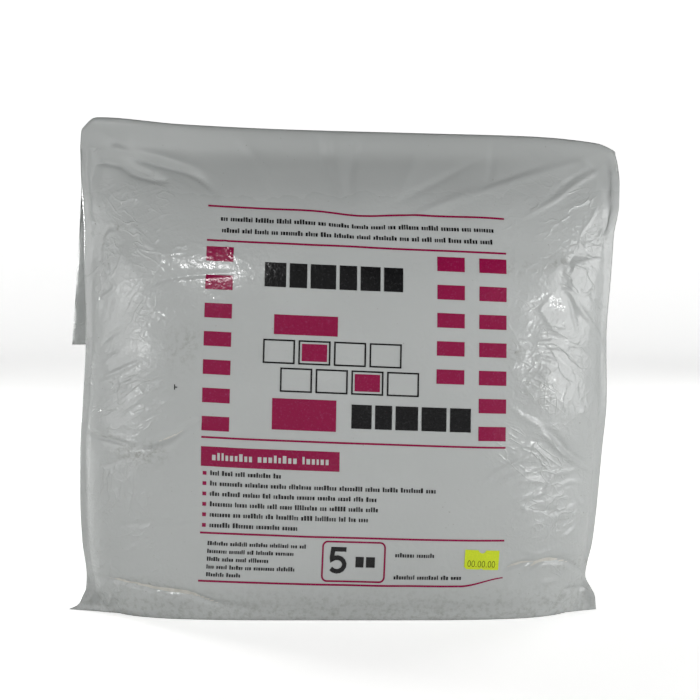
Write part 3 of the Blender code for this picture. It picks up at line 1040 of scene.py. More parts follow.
@dataclass
class Wrinkler:
    """Adds the photograph's creases, crinkles and soft lumps to the film."""

    view: PhotoView
    lump_cell: float = 62.0
    lump: float = 0.7
    everywhere_slack: float = 0.3
    back_slack: float = 0.85
    back_cell: float = 27.0
    base_darkening: float = 0.4
    flap_slack: dict[Run, float] = field(
        default_factory=lambda: {Run.FALLING: 0.5, Run.RISING: 0.4, Run.STEEP: 1.0})

    def dress(self, film: FilmSheet) -> dict[str, np.ndarray]:
        """Crease both sheets and work out where the film is loose, dirty or darker at the base.

        Args:
            film: The sheet, draped already.

        Returns:
            One value for each vertex of the finished mesh, by the name of the attribute: how
            slack the film is for each run of crinkles, how dirty or darkened along the base, and how
            hollow behind.
        """
        form, rows = film.form, film.body_rows()
        x, z = film.rest[:rows, :, 0], film.rest[:rows, :, 2]
        folds = (*TUCKS, *TOP_FOLDS, *LEFT_FOLDS, *LOW_LEFT_FOLDS, *RIGHT_FOLDS, *LOW_RIGHT_FOLDS)
        height = self.lumps(film.rest[:rows]) * ramp(z, 2.0, 30.0)
        loose, dirt = {run: np.zeros_like(x) for run in Run}, np.zeros_like(x)
        for patch in LOOSE_PATCHES:
            height = height + patch.lift(x, z, self.view, form)
            loose[patch.run] = np.maximum(loose[patch.run], patch.window(x, z, self.view, form))
        for fold in folds:
            height = height + fold.crease(self.view, form).lift(x, z)
        for smudge in SMUDGES:
            dirt = np.maximum(dirt, smudge.mark(x, z, self.view, form))
        # Darker, yellower band along the base, added to the same mask as the dirt.
        dirt = np.maximum(dirt, self.base_darkening * (1 - ramp(z, 4.0, 30.0)))
        film.crease(height * ramp(z, 0.5, 8.0))
        self.flap(film, rows)
        self.behind(film)
        masks = {}
        for run in Run:
            front = np.full(film.front.shape[:2], self.flap_slack[run])
            spread = self.everywhere_slack * ramp(np.abs(x), 70.0, 130.0)
            front[:rows] = np.maximum(loose[run], spread) * (1 - 0.8 * ramp(z, 268.0, 290.0))
            masks[run.mask] = film.per_vertex(front, np.full(film.back.shape[:2], self.back_slack))
        soiled = np.zeros(film.front.shape[:2])
        soiled[:rows] = dirt
        masks["dirt"] = film.per_vertex(soiled, np.zeros(film.back.shape[:2]))
        masks["hollow"] = film.per_vertex(self.hollow(film.rest, rows), self.hollow(film.back, rows))
        return masks

    @staticmethod
    def hollow(place: np.ndarray, rows: int) -> np.ndarray:
        """Where no powder lies behind the film, 0 to 1: by the fold, in the ears, down the flap."""
        empty = np.ones(place.shape[:2])
        x, z = place[:rows, :, 0], place[:rows, :, 2]
        by_fold = ramp(z, 246.0, 288.0)
        empty[:rows] = np.maximum(by_fold, in_ears(x, z, (146.0, 162.0), (8.0, 26.0)))
        return empty

    def lumps(self, place: np.ndarray) -> np.ndarray:
        """Soft swellings of the powder under the film: two octaves of smooth noise."""
        return self.lump * (lattice_noise(place, self.lump_cell, 5)
                            + 0.45 * lattice_noise(place, self.lump_cell * 0.45, 6))

    def flap(self, film: FilmSheet, first: int) -> None:
        """Long soft folds down the flap with crinkles across them; both its layers move alike.

        The height is minus the size of three noises: one drawn out down the flap, a finer one of
        the same kind, and one drawn out along a slant.
        """
        place = film.rest[first:]
        drawn = place * np.array([1.0, 1.0, 0.3])
        long = np.abs(lattice_noise(drawn, 23.0, 41)) + 0.35 * np.abs(lattice_noise(drawn, 9.0, 42))
        slant = np.stack([place[..., 0] + 0.8 * place[..., 2], place[..., 1],
                          0.35 * (place[..., 2] - place[..., 0])], axis=-1)
        across = np.abs(lattice_noise(slant, 34.0, 43))
        away = ramp(np.arange(place.shape[0]), 2.0, 12.0)[:, None]
        height = (2.0 - 3.0 * long - 3.6 * across) * away
        inner = (grid_normals(film.front)[first:] * height[..., None])[:, 2:-1:2]
        film.crease(height, first)
        film.back[first:, 1:-1] += inner

    def behind(self, film: FilmSheet) -> None:
        """Crinkles of the standing back: sharp crests that fan out from both lower corners.

        The height is 1.8 mm, less the sizes of a coarse slanting noise and of a fine one. The
        slant changes over from one side to the other, and the crinkles fade at the base.
        """
        rows = film.body_rows()
        place = film.back[:rows]
        x, z = place[..., 0], place[..., 2]
        fan = np.stack([x + 0.9 * z, place[..., 1], 0.3 * (z - x)], axis=-1)
        other = np.stack([x - 0.8 * z, place[..., 1], 0.3 * (z + x)], axis=-1)
        left = 1 - ramp(x, -90.0, 30.0)
        rising = np.abs(lattice_noise(other, self.back_cell, 51))
        falling = np.abs(lattice_noise(fan, self.back_cell, 52))
        coarse = rising * left + falling * (1 - left)
        fine = np.abs(lattice_noise(place * np.array([1.0, 1.0, 0.5]), 12.0, 53))
        side = 0.5 + 0.5 * ramp(np.abs(x), 50.0, 130.0)
        film.crease_back((1.8 - 5.6 * coarse - 1.5 * fine) * side * ramp(z, 2.0, 26.0))


class Ink(Enum):
    """Inks on the film, with how far each lies proud of it in millimetres."""

    MAGENTA = 0.14
    BLACK = 0.18
    PAPER_WHITE = 0.22


@dataclass
class InkLayer:
    """Flat print shapes of one ink, collected on the layout and then laid on the film."""

    ink: Ink
    step: float = 0.9
    points: list[np.ndarray] = field(default_factory=list)
    faces: list[np.ndarray] = field(default_factory=list)
    count: int = 0

    def add_grid(self, a: np.ndarray, b: np.ndarray) -> None:
        """Add a grid of layout places, given as two arrays of the same shape."""
        index = np.arange(a.size).reshape(a.shape) + self.count
        self.points.append(np.stack([a.ravel(), b.ravel()], axis=-1))
        self.faces.append(grid_faces(index)[:, ::-1])
        self.count += a.size

    def block(self, left: float, top: float, right: float, bottom: float) -> None:
        """Filled rectangle, from its corners in millimetres."""
        wide = np.linspace(left, right, max(2, int(abs(right - left) / self.step) + 2))
        tall = np.linspace(top, bottom, max(2, int(abs(bottom - top) / self.step) + 2))
        self.add_grid(*np.meshgrid(wide, tall))

    def stroke(self, path: Sequence[tuple[float, float]], width: float) -> None:
        """Line of even width through points, with mitred corners.

        Each point is moved half the width along the mean of its neighbours' normals, stretched
        where the line turns so that the width holds.
        """
        line = np.array(path, dtype=float)
        steps = np.hypot(*np.diff(line, axis=0).T)
        counts = [max(2, int(step / self.step) + 2) for step in steps]
        parts = [np.linspace(0, 1, count)[:-1] + i for i, count in enumerate(counts)]
        at = np.concatenate(parts + [[len(steps)]])
        places = np.arange(len(line))
        way = np.stack([np.interp(at, places, line[:, 0]), np.interp(at, places, line[:, 1])], axis=-1)
        run = np.diff(line, axis=0) / steps[:, None]
        normal = np.stack([-run[:, 1], run[:, 0]], axis=-1)
        closed = np.allclose(line[0], line[-1])
        before = np.concatenate([normal[-1:] if closed else normal[:1], normal])
        after = np.concatenate([normal, normal[:1] if closed else normal[-1:]])
        mitre = before + after
        mitre = mitre / np.maximum((mitre * after).sum(axis=1, keepdims=True), 0.4)
        whole = np.isclose(at, np.round(at))
        straight = normal[np.minimum(at.astype(int), len(normal) - 1)]
        side = np.where(whole[:, None], mitre[np.round(at).astype(int)], straight)
        edges = np.stack([way - side * width / 2, way + side * width / 2], axis=0)
        self.add_grid(edges[..., 0], edges[..., 1])


@dataclass(frozen=True)
class BlockRow:
    """Row of small blocks in groups as long as words, with no letters in them.

    All are layout millimetres: its left end, its top, its right end, and how tall and how wide
    a block can be.
    """

    left: float
    top: float
    right: float
    tall: float
    wide: float


@dataclass
class PrintLayout:
    """Generic print of the front: rules, dash columns, plain blocks for words, a tile motif.

    Layout places are millimetres: a runs right from the print's left edge and b down from the
    top rule. Rows of small blocks stand where text would be, and hold no letters.
    """

    width: float = 190.0
    rule: float = 1.2
    dash: tuple[float, float] = (17.4, 8.8)
    dash_top: float = 25.0
    dash_step: float = 17.05
    dash_columns: tuple[tuple[float, int], ...] = ((0.0, 7), (146.0, 5), (172.6, 7))
    ground_above: tuple[float, ...] = (44.0, 64.0, 84.0, 76.0)
    ground_below: tuple[float, ...] = (44.0, 114.5, 84.0, 133.5)
    tile: tuple[float, float] = (19.0, 13.68)
    tile_gap: float = 3.2
    tile_start: tuple[float, float] = (38.0, 79.5)
    tile_border: float = 1.6
    filled_tiles: tuple[tuple[int, int], ...] = ((0, 1), (1, 2))
    heading_height: float = 14.6
    heading_gap: float = 2.2
    heading_starts: tuple[tuple[float, float], ...] = ((37.5, 33.0), (93.5, 116.5))
    heading_widths: tuple[tuple[float, ...], ...] = (
        (13.5, 11.0, 16.0, 11.0, 12.5, 12.0), (12.5, 10.5, 14.0, 15.5, 13.0))
    bar: tuple[float, ...] = (0.0, 145.7, 86.5, 157.9)
    bar_row: BlockRow = BlockRow(7.0, 149.4, 78.0, 4.6, 3.1)
    head_rows: tuple[BlockRow, ...] = (
        BlockRow(8.5, 6.0, 182.0, 3.0, 1.75), BlockRow(9.5, 13.2, 183.5, 3.0, 1.75))
    bullet_top: float = 160.4
    bullet_step: float = 6.35
    bullet_ends: tuple[float, ...] = (49.4, 146.0, 108.8, 112.0, 104.0, 60.6)
    foot_top: float = 203.2
    foot_step: float = 4.45
    foot_ends: tuple[float, ...] = (66.5, 59.5, 44.5, 59.0, 28.0)
    side_rows: tuple[BlockRow, ...] = (
        BlockRow(122.0, 206.6, 148.0, 2.6, 1.6), BlockRow(121.5, 219.6, 163.0, 2.6, 1.6))
    size_box: tuple[float, ...] = (77.0, 201.0, 115.5, 224.0)
    size_corner: float = 3.0
    size_line: float = 1.1
    digit_line: float = 2.7
    digit_hook: tuple[tuple[float, float], ...] = ((91.6, 205.4), (83.4, 205.4), (82.6, 211.6))
    digit_bowl: tuple[float, ...] = (86.0, 214.2, 4.6, 4.0)
    unit_blocks: tuple[tuple[float, ...], ...] = (
        (97.5, 209.5, 102.5, 215.6), (104.0, 209.5, 109.5, 215.6))
    mark: tuple[float, float] = (-17.6, 111.0)
    kink: float = 5.6
    dip: float = 2.0
    seed: int = 11
    rule_rows: tuple[float, ...] = (0.0, 21.3, 140.1, 198.5, 226.2)
    rule_left: tuple[tuple[float, float], ...] = (
        (208.3, 206.0), (206.7, 241.0), (200.6, 438.5), (199.3, 534.5), (197.4, 583.0))
    rule_right: tuple[tuple[float, float], ...] = (
        (504.1, 220.5), (506.4, 255.0), (506.0, 449.5), (504.9, 542.5), (503.2, 588.0))

    def paint(self) -> dict[Ink, InkLayer]:
        """All the print's shapes, one layer for each ink."""
        layers = {ink: InkLayer(ink) for ink in Ink}
        self.rules(layers[Ink.MAGENTA])
        self.dashes(layers[Ink.MAGENTA])
        self.motif(layers[Ink.MAGENTA], layers[Ink.BLACK])
        self.headings(layers[Ink.BLACK])
        self.header_bar(layers[Ink.MAGENTA], layers[Ink.PAPER_WHITE])
        self.small_text(layers[Ink.MAGENTA], layers[Ink.BLACK])
        self.size_frame(layers[Ink.MAGENTA], layers[Ink.BLACK])
        self.press_mark(layers[Ink.BLACK])
        return layers

    def rules(self, magenta: InkLayer) -> None:
        """Five thin rules across the print."""
        for b in self.rule_rows:
            magenta.stroke([(0.0, b), (self.width, b)], self.rule)

    def dashes(self, magenta: InkLayer) -> None:
        """Three columns of dashes: seven at both sides, five next to the right one."""
        for left, count in self.dash_columns:
            for row in range(count):
                top = self.dash_top + row * self.dash_step
                magenta.block(left, top, left + self.dash[0], top + self.dash[1])

    def motif(self, magenta: InkLayer, black: InkLayer) -> None:
        """Plain panel of laid tiles: a magenta ground and outlined squares in running bond."""
        magenta.block(*self.ground_above)
        wide, tall = self.tile
        for row, column in np.ndindex(2, 4):
            left = self.tile_start[0] + (column + row / 2) * (wide + self.tile_gap)
            top = self.tile_start[1] + row * (tall + self.tile_gap)
            right, bottom, inset = left + wide, top + tall, self.tile_border
            if (row, column) in self.filled_tiles:
                magenta.block(left + inset, top + inset, right - inset, bottom - inset)
            black.stroke([(left, top), (right, top), (right, bottom), (left, bottom), (left, top)], 1.0)
        magenta.block(*self.ground_below)

    def headings(self, black: InkLayer) -> None:
        """Two heavy bars of blocks where the headings stand."""
        for (left, top), widths in zip(self.heading_starts, self.heading_widths):
            for wide in widths:
                black.block(left, top, left + wide, top + self.heading_height)
                left += wide + self.heading_gap

    def header_bar(self, magenta: InkLayer, white: InkLayer) -> None:
        """Magenta bar with a row of light blocks."""
        magenta.block(*self.bar)
        self.words(white, self.bar_row)

    def small_text(self, magenta: InkLayer, black: InkLayer) -> None:
        """Rows of small blocks in place of the small text, and six square bullets."""
        for row in self.head_rows:
            self.words(black, row)
        for number, end in enumerate(self.bullet_ends):
            top = self.bullet_top + number * self.bullet_step
            magenta.block(1.2, top + 0.6, 3.6, top + 2.9)
            self.words(black, BlockRow(6.0, top, end, 3.0, 1.75))
        for number, end in enumerate(self.foot_ends):
            self.words(black, BlockRow(5.0, self.foot_top + number * self.foot_step, end, 2.4, 1.5))
        for row in self.side_rows:
            self.words(black, row)

    def words(self, ink: InkLayer, row: BlockRow) -> None:
        """Blocks of one row: 3 to 9 in a group, three quarters of them short, in chance widths."""
        left, foot = row.left, row.top + row.tall
        chance = np.random.default_rng(self.seed + int(row.top * 10) + int(left))
        while left < row.right - 2 * row.wide:
            for _ in range(int(chance.integers(3, 10))):
                if left > row.right:
                    return
                tall = row.tall * (0.72 if chance.random() < 0.75 else 1.0)
                span = row.wide * chance.uniform(0.4, 0.75)
                ink.block(left, foot - tall, left + span, foot)
                left += span + row.wide * 0.36
            left += row.wide * 0.8

    def size_frame(self, magenta: InkLayer, black: InkLayer) -> None:
        """Frame with round corners, a plain heavy digit and two blocks."""
        corner, quarter = self.size_corner, math.pi / 2
        left, top = self.size_box[0] + corner, self.size_box[1] + corner
        right, bottom = self.size_box[2] - corner, self.size_box[3] - corner
        path: list[tuple[float, float]] = []
        for across, down, start in ((right, top, -quarter), (right, bottom, 0.0),
                                    (left, bottom, quarter), (left, top, 2 * quarter)):
            path += [(across + corner * math.cos(turn), down + corner * math.sin(turn))
                     for turn in start + np.linspace(0, quarter, 6)]
        magenta.stroke(path + path[:1], self.size_line)
        across, down, wide, tall = self.digit_bowl
        bowl = [(across + wide * math.cos(turn), down + tall * math.sin(turn))
                for turn in np.linspace(-2.3, 2.5, 12)]
        black.stroke([*self.digit_hook, *bowl], self.digit_line)
        for block in self.unit_blocks:
            black.block(*block)

    def press_mark(self, black: InkLayer) -> None:
        """Small cross outside the print, by which a press lines its inks up."""
        across, down = self.mark
        black.stroke([(across, down - 1.6), (across, down + 1.6)], 0.6)
        black.stroke([(across, down), (across + 1.7, down)], 0.6)

    def place(self, points: np.ndarray, view: PhotoView, form: BagForm) -> np.ndarray:
        """Where layout places lie on the bag, seen straight on.

        The print leans with the film: the rules' two ends, read from the photograph, carry the
        layout, with smooth curves down both edges. The lowest rule bends up at its right end, and
        the top rows dip a little where the soft folds of the shoulder meet.
        """
        left = np.array([view.on_front(pixel, form) for pixel in self.rule_left])
        right = np.array([view.on_front(pixel, form) for pixel in self.rule_right])
        a, b = points[:, 0] / self.width, points[:, 1]
        ends = [self.down(edge[:, axis], b) for axis in (0, 1) for edge in (left, right)]
        x = ends[0] * (1 - a) + ends[1] * a
        z = ends[2] * (1 - a) + ends[3] * a
        kink = self.kink * ramp(b, 219.0, 227.0) * ramp(points[:, 0], 163.0, 192.0)
        dip = self.dip * np.exp(-((points[:, 0] - 96.0) / 20.0) ** 2) * (1 - ramp(b, 0.0, 21.0))
        return np.stack([x, z + kink - dip], axis=-1)

    def down(self, values: np.ndarray, b: np.ndarray) -> np.ndarray:
        """Values known at the rules, as a smooth curve down the layout, straight past both ends."""
        rows = self.rule_rows
        above = np.minimum(b - rows[0], 0.0) * (values[1] - values[0]) / (rows[1] - rows[0])
        below = np.maximum(b - rows[-1], 0.0) * (values[-1] - values[-2]) / (rows[-1] - rows[-2])
        return smooth(rows, values, b) + above + below


def lay_ink(layer: InkLayer, layout: PrintLayout, view: PhotoView, film: FilmSheet,
            shift: np.ndarray) -> bpy.types.Object:
    """One ink's shapes as a thin skin on the film.

    Args:
        layer: Shapes on the layout.
        layout: Where the layout lies on the bag.
        view: Camera that carries the layout.
        film: The finished film.
        shift: From the drawing frame to the part's frame, in millimetres.

    Returns:
        The piece.
    """
    spots = layout.place(np.concatenate(layer.points), view, film.form)
    points = film.lay(spots[:, 0], spots[:, 1], layer.ink.value)
    name = "print_" + layer.ink.name.lower()
    return make_mesh(name, (points + shift) * MM, np.concatenate(layer.faces))


@dataclass
class DateLabel:
    """Small price-gun label: fluorescent paper with a pull notch and a row of plain digits."""

    width: float = 21.5
    height: float = 12.4
    centre: tuple[float, float] = (84.1, 40.0)
    tilt: float = math.radians(-3.6)
    notch: tuple[float, float] = (4.4, 1.9)
    proud: float = 0.28
    thickness: float = 0.14
    nick: tuple[float, float] = (2.0, 0.7)
    corner: tuple[float, float] = (2.2, 1.4)
    grid: tuple[int, int] = (15, 45)
    digit: tuple[float, float] = (1.75, 3.9)
    digit_start: tuple[float, float] = (-8.6, -0.6)
    digit_gap: float = 0.75
    digit_line: float = 0.36
    dot: float = 0.5
    dot_step: float = 1.35

    def turn(self, a: np.ndarray, b: np.ndarray) -> tuple[np.ndarray, np.ndarray]:
        """Places on the label, from its middle, turned onto the front."""
        x = self.centre[0] + a * math.cos(self.tilt) - b * math.sin(self.tilt)
        z = self.centre[1] + a * math.sin(self.tilt) + b * math.cos(self.tilt)
        return x, z

    def paper(self, film: FilmSheet, shift: np.ndarray) -> bpy.types.Object:
        """The label's paper: a grid whose upper edge dips in the notch, with a thin edge all round.

        Its height at each place is the label's, less a round dip of the notch's depth in the
        upper edge and a smaller one, the nick, in the lower edge. Its lower left corner is worn
        round. Notch, nick and corner are given as width and depth.
        """
        rows, columns = self.grid
        a = np.linspace(-self.width / 2, self.width / 2, columns)
        dip = self.notch[1] * np.sqrt(np.clip(1 - (a / (self.notch[0] / 2)) ** 2, 0, 1))
        nick = self.nick[1] * np.sqrt(np.clip(1 - (a / (self.nick[0] / 2)) ** 2, 0, 1))
        corner = self.corner[1] * ramp(-a, self.width / 2 - self.corner[0], self.width / 2) ** 2
        low, high = -self.height / 2 + nick + corner, self.height / 2 - dip
        share = np.linspace(0, 1, rows)[:, None]
        across = np.broadcast_to(a, self.grid)
        up = low + (high - low) * share
        x, z = self.turn(across, up)
        face = film.lay(x, z, self.proud)
        foot = film.lay(x, z, self.proud - self.thickness)
        index = np.arange(face.shape[0] * face.shape[1]).reshape(face.shape[:2])
        rim = np.concatenate([index[0], index[1:, -1], index[-1, -2::-1], index[-2:0:-1, 0]])
        under = rim + index.size
        walls = [[a0, b0, b1, a1] for a0, a1, b0, b1 in
                 zip(rim, np.roll(rim, -1), under, np.roll(under, -1))]
        faces = grid_faces(index).tolist() + walls
        points = np.concatenate([face.reshape(-1, 3), foot.reshape(-1, 3)])
        return make_mesh("label_paper", (points + shift) * MM, faces, smooth_angle=40.0)

    def digits(self, film: FilmSheet, shift: np.ndarray) -> bpy.types.Object:
        """Row of plain round noughts in pairs, parted by dots."""
        ink = InkLayer(Ink.BLACK, step=0.5)
        wide, tall = self.digit
        turns = np.linspace(0, 2 * math.pi, 17)
        left, top = self.digit_start
        for group in range(3):
            for _ in range(2):
                path = [(left + wide / 2 * (1 + math.sin(t)), top - tall / 2 * (1 - math.cos(t)))
                        for t in turns]
                ink.stroke(path, self.digit_line)
                left += wide + self.digit_gap
            if group < 2:
                ink.block(left, top - tall, left + self.dot, top - tall + self.dot)
                left += self.dot_step
        places = np.concatenate(ink.points)
        x, z = self.turn(places[:, 0], places[:, 1])
        points = film.lay(x, z, self.proud + 0.05)
        faces = np.concatenate(ink.faces)[:, ::-1]
        return make_mesh("label_digits", (points + shift) * MM, faces)


def linear(code: str) -> tuple[float, float, float, float]:
    """Linear colour with full alpha from an sRGB hex code such as '#A9ABAA'."""
    parts = [int(code[i:i + 2], 16) / 255 for i in (1, 3, 5)]
    return (*[p / 12.92 if p <= 0.04045 else ((p + 0.055) / 1.055) ** 2.4 for p in parts], 1.0)


def per(size_mm: float) -> float:
    """Scale that makes a noise's lumps about so many millimetres across."""
    return 1.0 / (size_mm * MM)


def add_node(tree: bpy.types.NodeTree, kind: str, settings: Optional[dict] = None,
             inputs: Optional[dict] = None) -> bpy.types.Node:
    """Add a shader node with its settings, input values and links.

    Args:
        tree: Node tree that gets the node.
        kind: Node type, without the ShaderNode prefix.
        settings: Attributes to set.
        inputs: Socket name or number to a value, to a node whose first output is linked, or to
            a (node, output) pair.

    Returns:
        The node.
    """
    node = tree.nodes.new("ShaderNode" + kind)
    for name, value in (settings or {}).items():
        setattr(node, name, value)
    for socket, value in (inputs or {}).items():
        source = (value, 0) if isinstance(value, bpy.types.Node) else value
        if isinstance(source, tuple) and isinstance(source[0], bpy.types.Node):
            tree.links.new(source[0].outputs[source[1]], node.inputs[socket])
        else:
            node.inputs[socket].default_value = value
    return node


def empty_material(name: str) -> bpy.types.Material:
    """Material with no nodes yet."""
    material = bpy.data.materials.new(name)
    material.use_nodes = True
    material.node_tree.nodes.clear()
    return material


@dataclass(frozen=True)
class PowderGrain:
    """Relief of the powder that presses through the film.

    Cement's own grain, 0.03 mm, is far too fine to show, so its clots are drawn instead. To the
    eye they break a small lamp's mirror image into a swarm of glints.
    """

    size_mm: float = 2.6
    depth_mm: float = 0.19

    def bump(self, tree: bpy.types.NodeTree, place: bpy.types.Node,
             strength: float | bpy.types.Node = 1.0) -> bpy.types.Node:
        """Bump of low clots; the strength is a number or a node."""
        clots = add_node(tree, "TexNoise", inputs={
            "Vector": (place, "Object"), "Scale": per(self.size_mm), "Detail": 1.0, "Roughness": 0.5})
        return add_node(tree, "Bump", inputs={
            "Strength": strength, "Distance": self.depth_mm * MM, "Height": clots})


@dataclass(frozen=True)
class Crinkles:
    """Sharp little creases of slack film that run one way.

    A crease stands where a noise, drawn out along the run, passes its middle value: its height is
    one minus the distance from that value over the width, squared. A wider noise breaks the lines
    into short ones, and an attribute of the mesh says where the film is slack.
    """

    run: Run
    spacing_mm: float
    drawn_out: float = 2.8
    width: float = 0.06

    def height(self, tree: bpy.types.NodeTree, place: bpy.types.Node) -> bpy.types.Node:
        """Height of the creases, 0 to 1."""
        turned = add_node(tree, "Mapping", {"vector_type": "TEXTURE"}, {
            "Vector": (place, "Object"), "Rotation": (0.0, -math.radians(self.run.value), 0.0),
            "Scale": (self.drawn_out, 1.0, 1.0)})
        field_of_lines = add_node(tree, "TexNoise", inputs={
            "Vector": turned, "Scale": per(self.spacing_mm), "Detail": 1.0, "Distortion": 0.35})
        off = add_node(tree, "Math", {"operation": "SUBTRACT"}, {0: field_of_lines, 1: 0.5})
        size = add_node(tree, "Math", {"operation": "ABSOLUTE"}, {0: off})
        tent = add_node(tree, "MapRange", inputs={
            "Value": size, "From Min": 0.0, "From Max": self.width, "To Min": 1.0, "To Max": 0.0})
        crest = add_node(tree, "Math", {"operation": "MULTIPLY"}, {0: tent, 1: tent})
        wide = add_node(tree, "TexNoise", inputs={
            "Vector": (place, "Object"), "Scale": per(2.2 * self.spacing_mm), "Detail": 0.0})
        part = add_node(tree, "MapRange", inputs={"Value": wide, "From Min": 0.42, "From Max": 0.58})
        broken = add_node(tree, "Math", {"operation": "MULTIPLY"}, {0: crest, 1: part})
        slack = add_node(tree, "Attribute", {"attribute_name": self.run.mask})
        return add_node(tree, "Math", {"operation": "MULTIPLY"}, {0: broken, 1: (slack, "Fac")})


@dataclass(frozen=True)
class PolyFilm:
    """Low-density polyethylene, pigmented white and blown as a tube of 0.1 mm film."""

    colour: str = "#C3C6C5"
    shade: str = "#BCBFBE"
    # Grey of film with no powder behind: partly the thin film's real translucency, partly painted shade
    # on the band under the fold, the ears and the flap.
    hollow: str = "#B0B3B2"
    dirt: str = "#77756B"
    roughness: tuple[float, float] = (0.13, 0.24)
    hollow_roughness: float = 0.38
    grain: PowderGrain = PowderGrain()
    crinkle_spacings_mm: tuple[float, ...] = (13.0, 7.0)
    crinkle_depth_mm: float = 0.22

    def material(self) -> bpy.types.Material:
        """Film: milky and even to the eye, with small hard glints on its creases.

        Its colour has faint clouds where powder clings behind it, smudges and specks of dirt, and a
        darker, yellower band along the base. Thin film lets some light through, so it is greyer where
        no powder lies behind it; that grey is also painted shade, which darkens the band under the
        fold, the ears and the flap. Its finest crinkles, under a millimetre, are drawn there as a
        duller gloss.
        """
        material = empty_material("white_poly_film")
        tree = material.node_tree
        place = add_node(tree, "TexCoord")
        clouds = add_node(tree, "TexNoise", inputs={
            "Vector": (place, "Object"), "Scale": per(60.0), "Detail": 1.0})
        tint = add_node(tree, "Mix", {"data_type": "RGBA"}, {
            0: clouds, 6: linear(self.colour), 7: linear(self.shade)})
        # Where no powder lies behind, the colour is mixed toward the hollow grey: partly the film's
        # real translucency, partly painted shade on the band under the fold, the ears and the flap.
        behind = add_node(tree, "Attribute", {"attribute_name": "hollow"})
        thin_and_shaded = add_node(tree, "Mix", {"data_type": "RGBA"}, {
            0: (behind, "Fac"), 6: (tint, 2), 7: linear(self.hollow)})
        dirty = add_node(tree, "Mix", {"data_type": "RGBA"}, {
            0: self.soil(tree, place), 6: (thin_and_shaded, 2), 7: linear(self.dirt)})
        rubbed = add_node(tree, "TexNoise", inputs={
            "Vector": (place, "Object"), "Scale": per(20.0), "Detail": 3.0})
        gloss = add_node(tree, "MapRange", inputs={
            "Value": rubbed, "From Min": 0.3, "From Max": 0.7,
            "To Min": self.roughness[0], "To Max": self.roughness[1]})
        slack_gloss = add_node(tree, "Mix", {"data_type": "FLOAT"}, {
            0: (behind, "Fac"), 2: gloss, 3: self.hollow_roughness})
        shader = add_node(tree, "BsdfPrincipled", inputs={
            "Base Color": (dirty, 2), "Roughness": slack_gloss, "IOR": 1.51,
            "Normal": self.relief(tree, place)})
        add_node(tree, "OutputMaterial", inputs={"Surface": shader})
        return material

    def soil(self, tree: bpy.types.NodeTree, place: bpy.types.Node) -> bpy.types.Node:
        """Where the film is darkened: mottled smudges of dirt on the slack film, a darker band along
        the base, and few specks all over.
        """
        smudge = add_node(tree, "Attribute", {"attribute_name": "dirt"})
        mottle = add_node(tree, "TexNoise", inputs={
            "Vector": (place, "Object"), "Scale": per(3.5), "Detail": 5.0, "Roughness": 0.7})
        patch = add_node(tree, "MapRange", inputs={"Value": mottle, "From Min": 0.47, "From Max": 0.7})
        soiled = add_node(tree, "Math", {"operation": "MULTIPLY"}, {0: (smudge, "Fac"), 1: patch})
        dots = add_node(tree, "TexNoise", inputs={
            "Vector": (place, "Object"), "Scale": per(1.5), "Detail": 0.0})
        specks = add_node(tree, "MapRange", inputs={
            "Value": dots, "From Min": 0.84, "From Max": 0.91, "To Max": 0.45})
        return add_node(tree, "Math", {"operation": "MAXIMUM"}, {0: soiled, 1: specks})

    def relief(self, tree: bpy.types.NodeTree, place: bpy.types.Node) -> bpy.types.Node:
        """Bump of the powder's grain where it lies behind, and of crinkles where film is slack."""
        behind = add_node(tree, "Attribute", {"attribute_name": "hollow"})
        pressed = add_node(tree, "MapRange", inputs={
            "Value": (behind, "Fac"), "To Min": 1.0, "To Max": 0.12})
        total = None
        for run in Run:
            for spacing in self.crinkle_spacings_mm:
                height = Crinkles(run, spacing).height(tree, place)
                if total is not None:
                    height = add_node(tree, "Math", {"operation": "ADD"}, {0: total, 1: height})
                total = height
        return add_node(tree, "Bump", inputs={
            "Strength": 1.0, "Distance": self.crinkle_depth_mm * MM, "Height": total,
            "Normal": self.grain.bump(tree, place, pressed)})


@dataclass(frozen=True)
class FlexoInk:
    """Flexographic ink, printed on the film in one flat coat."""

    name: str
    colour: str
    thin: str
    grain: PowderGrain = PowderGrain()

    def material(self) -> bpy.types.Material:
        """Ink: to the eye one strong colour with pinholes, as glossy as the film under it."""
        material = empty_material(self.name)
        tree = material.node_tree
        place = add_node(tree, "TexCoord")
        pinholes = add_node(tree, "TexNoise", inputs={
            "Vector": (place, "Object"), "Scale": per(1.3), "Detail": 3.0, "Roughness": 0.7})
        worn = add_node(tree, "MapRange", inputs={"Value": pinholes, "From Min": 0.55, "From Max": 0.8})
        tint = add_node(tree, "Mix", {"data_type": "RGBA"}, {
            0: worn, 6: linear(self.colour), 7: linear(self.thin)})
        shader = add_node(tree, "BsdfPrincipled", inputs={
            "Base Color": (tint, 2), "Roughness": 0.2, "IOR": 1.5,
            "Normal": self.grain.bump(tree, place)})
        add_node(tree, "OutputMaterial", inputs={"Surface": shader})
        return material


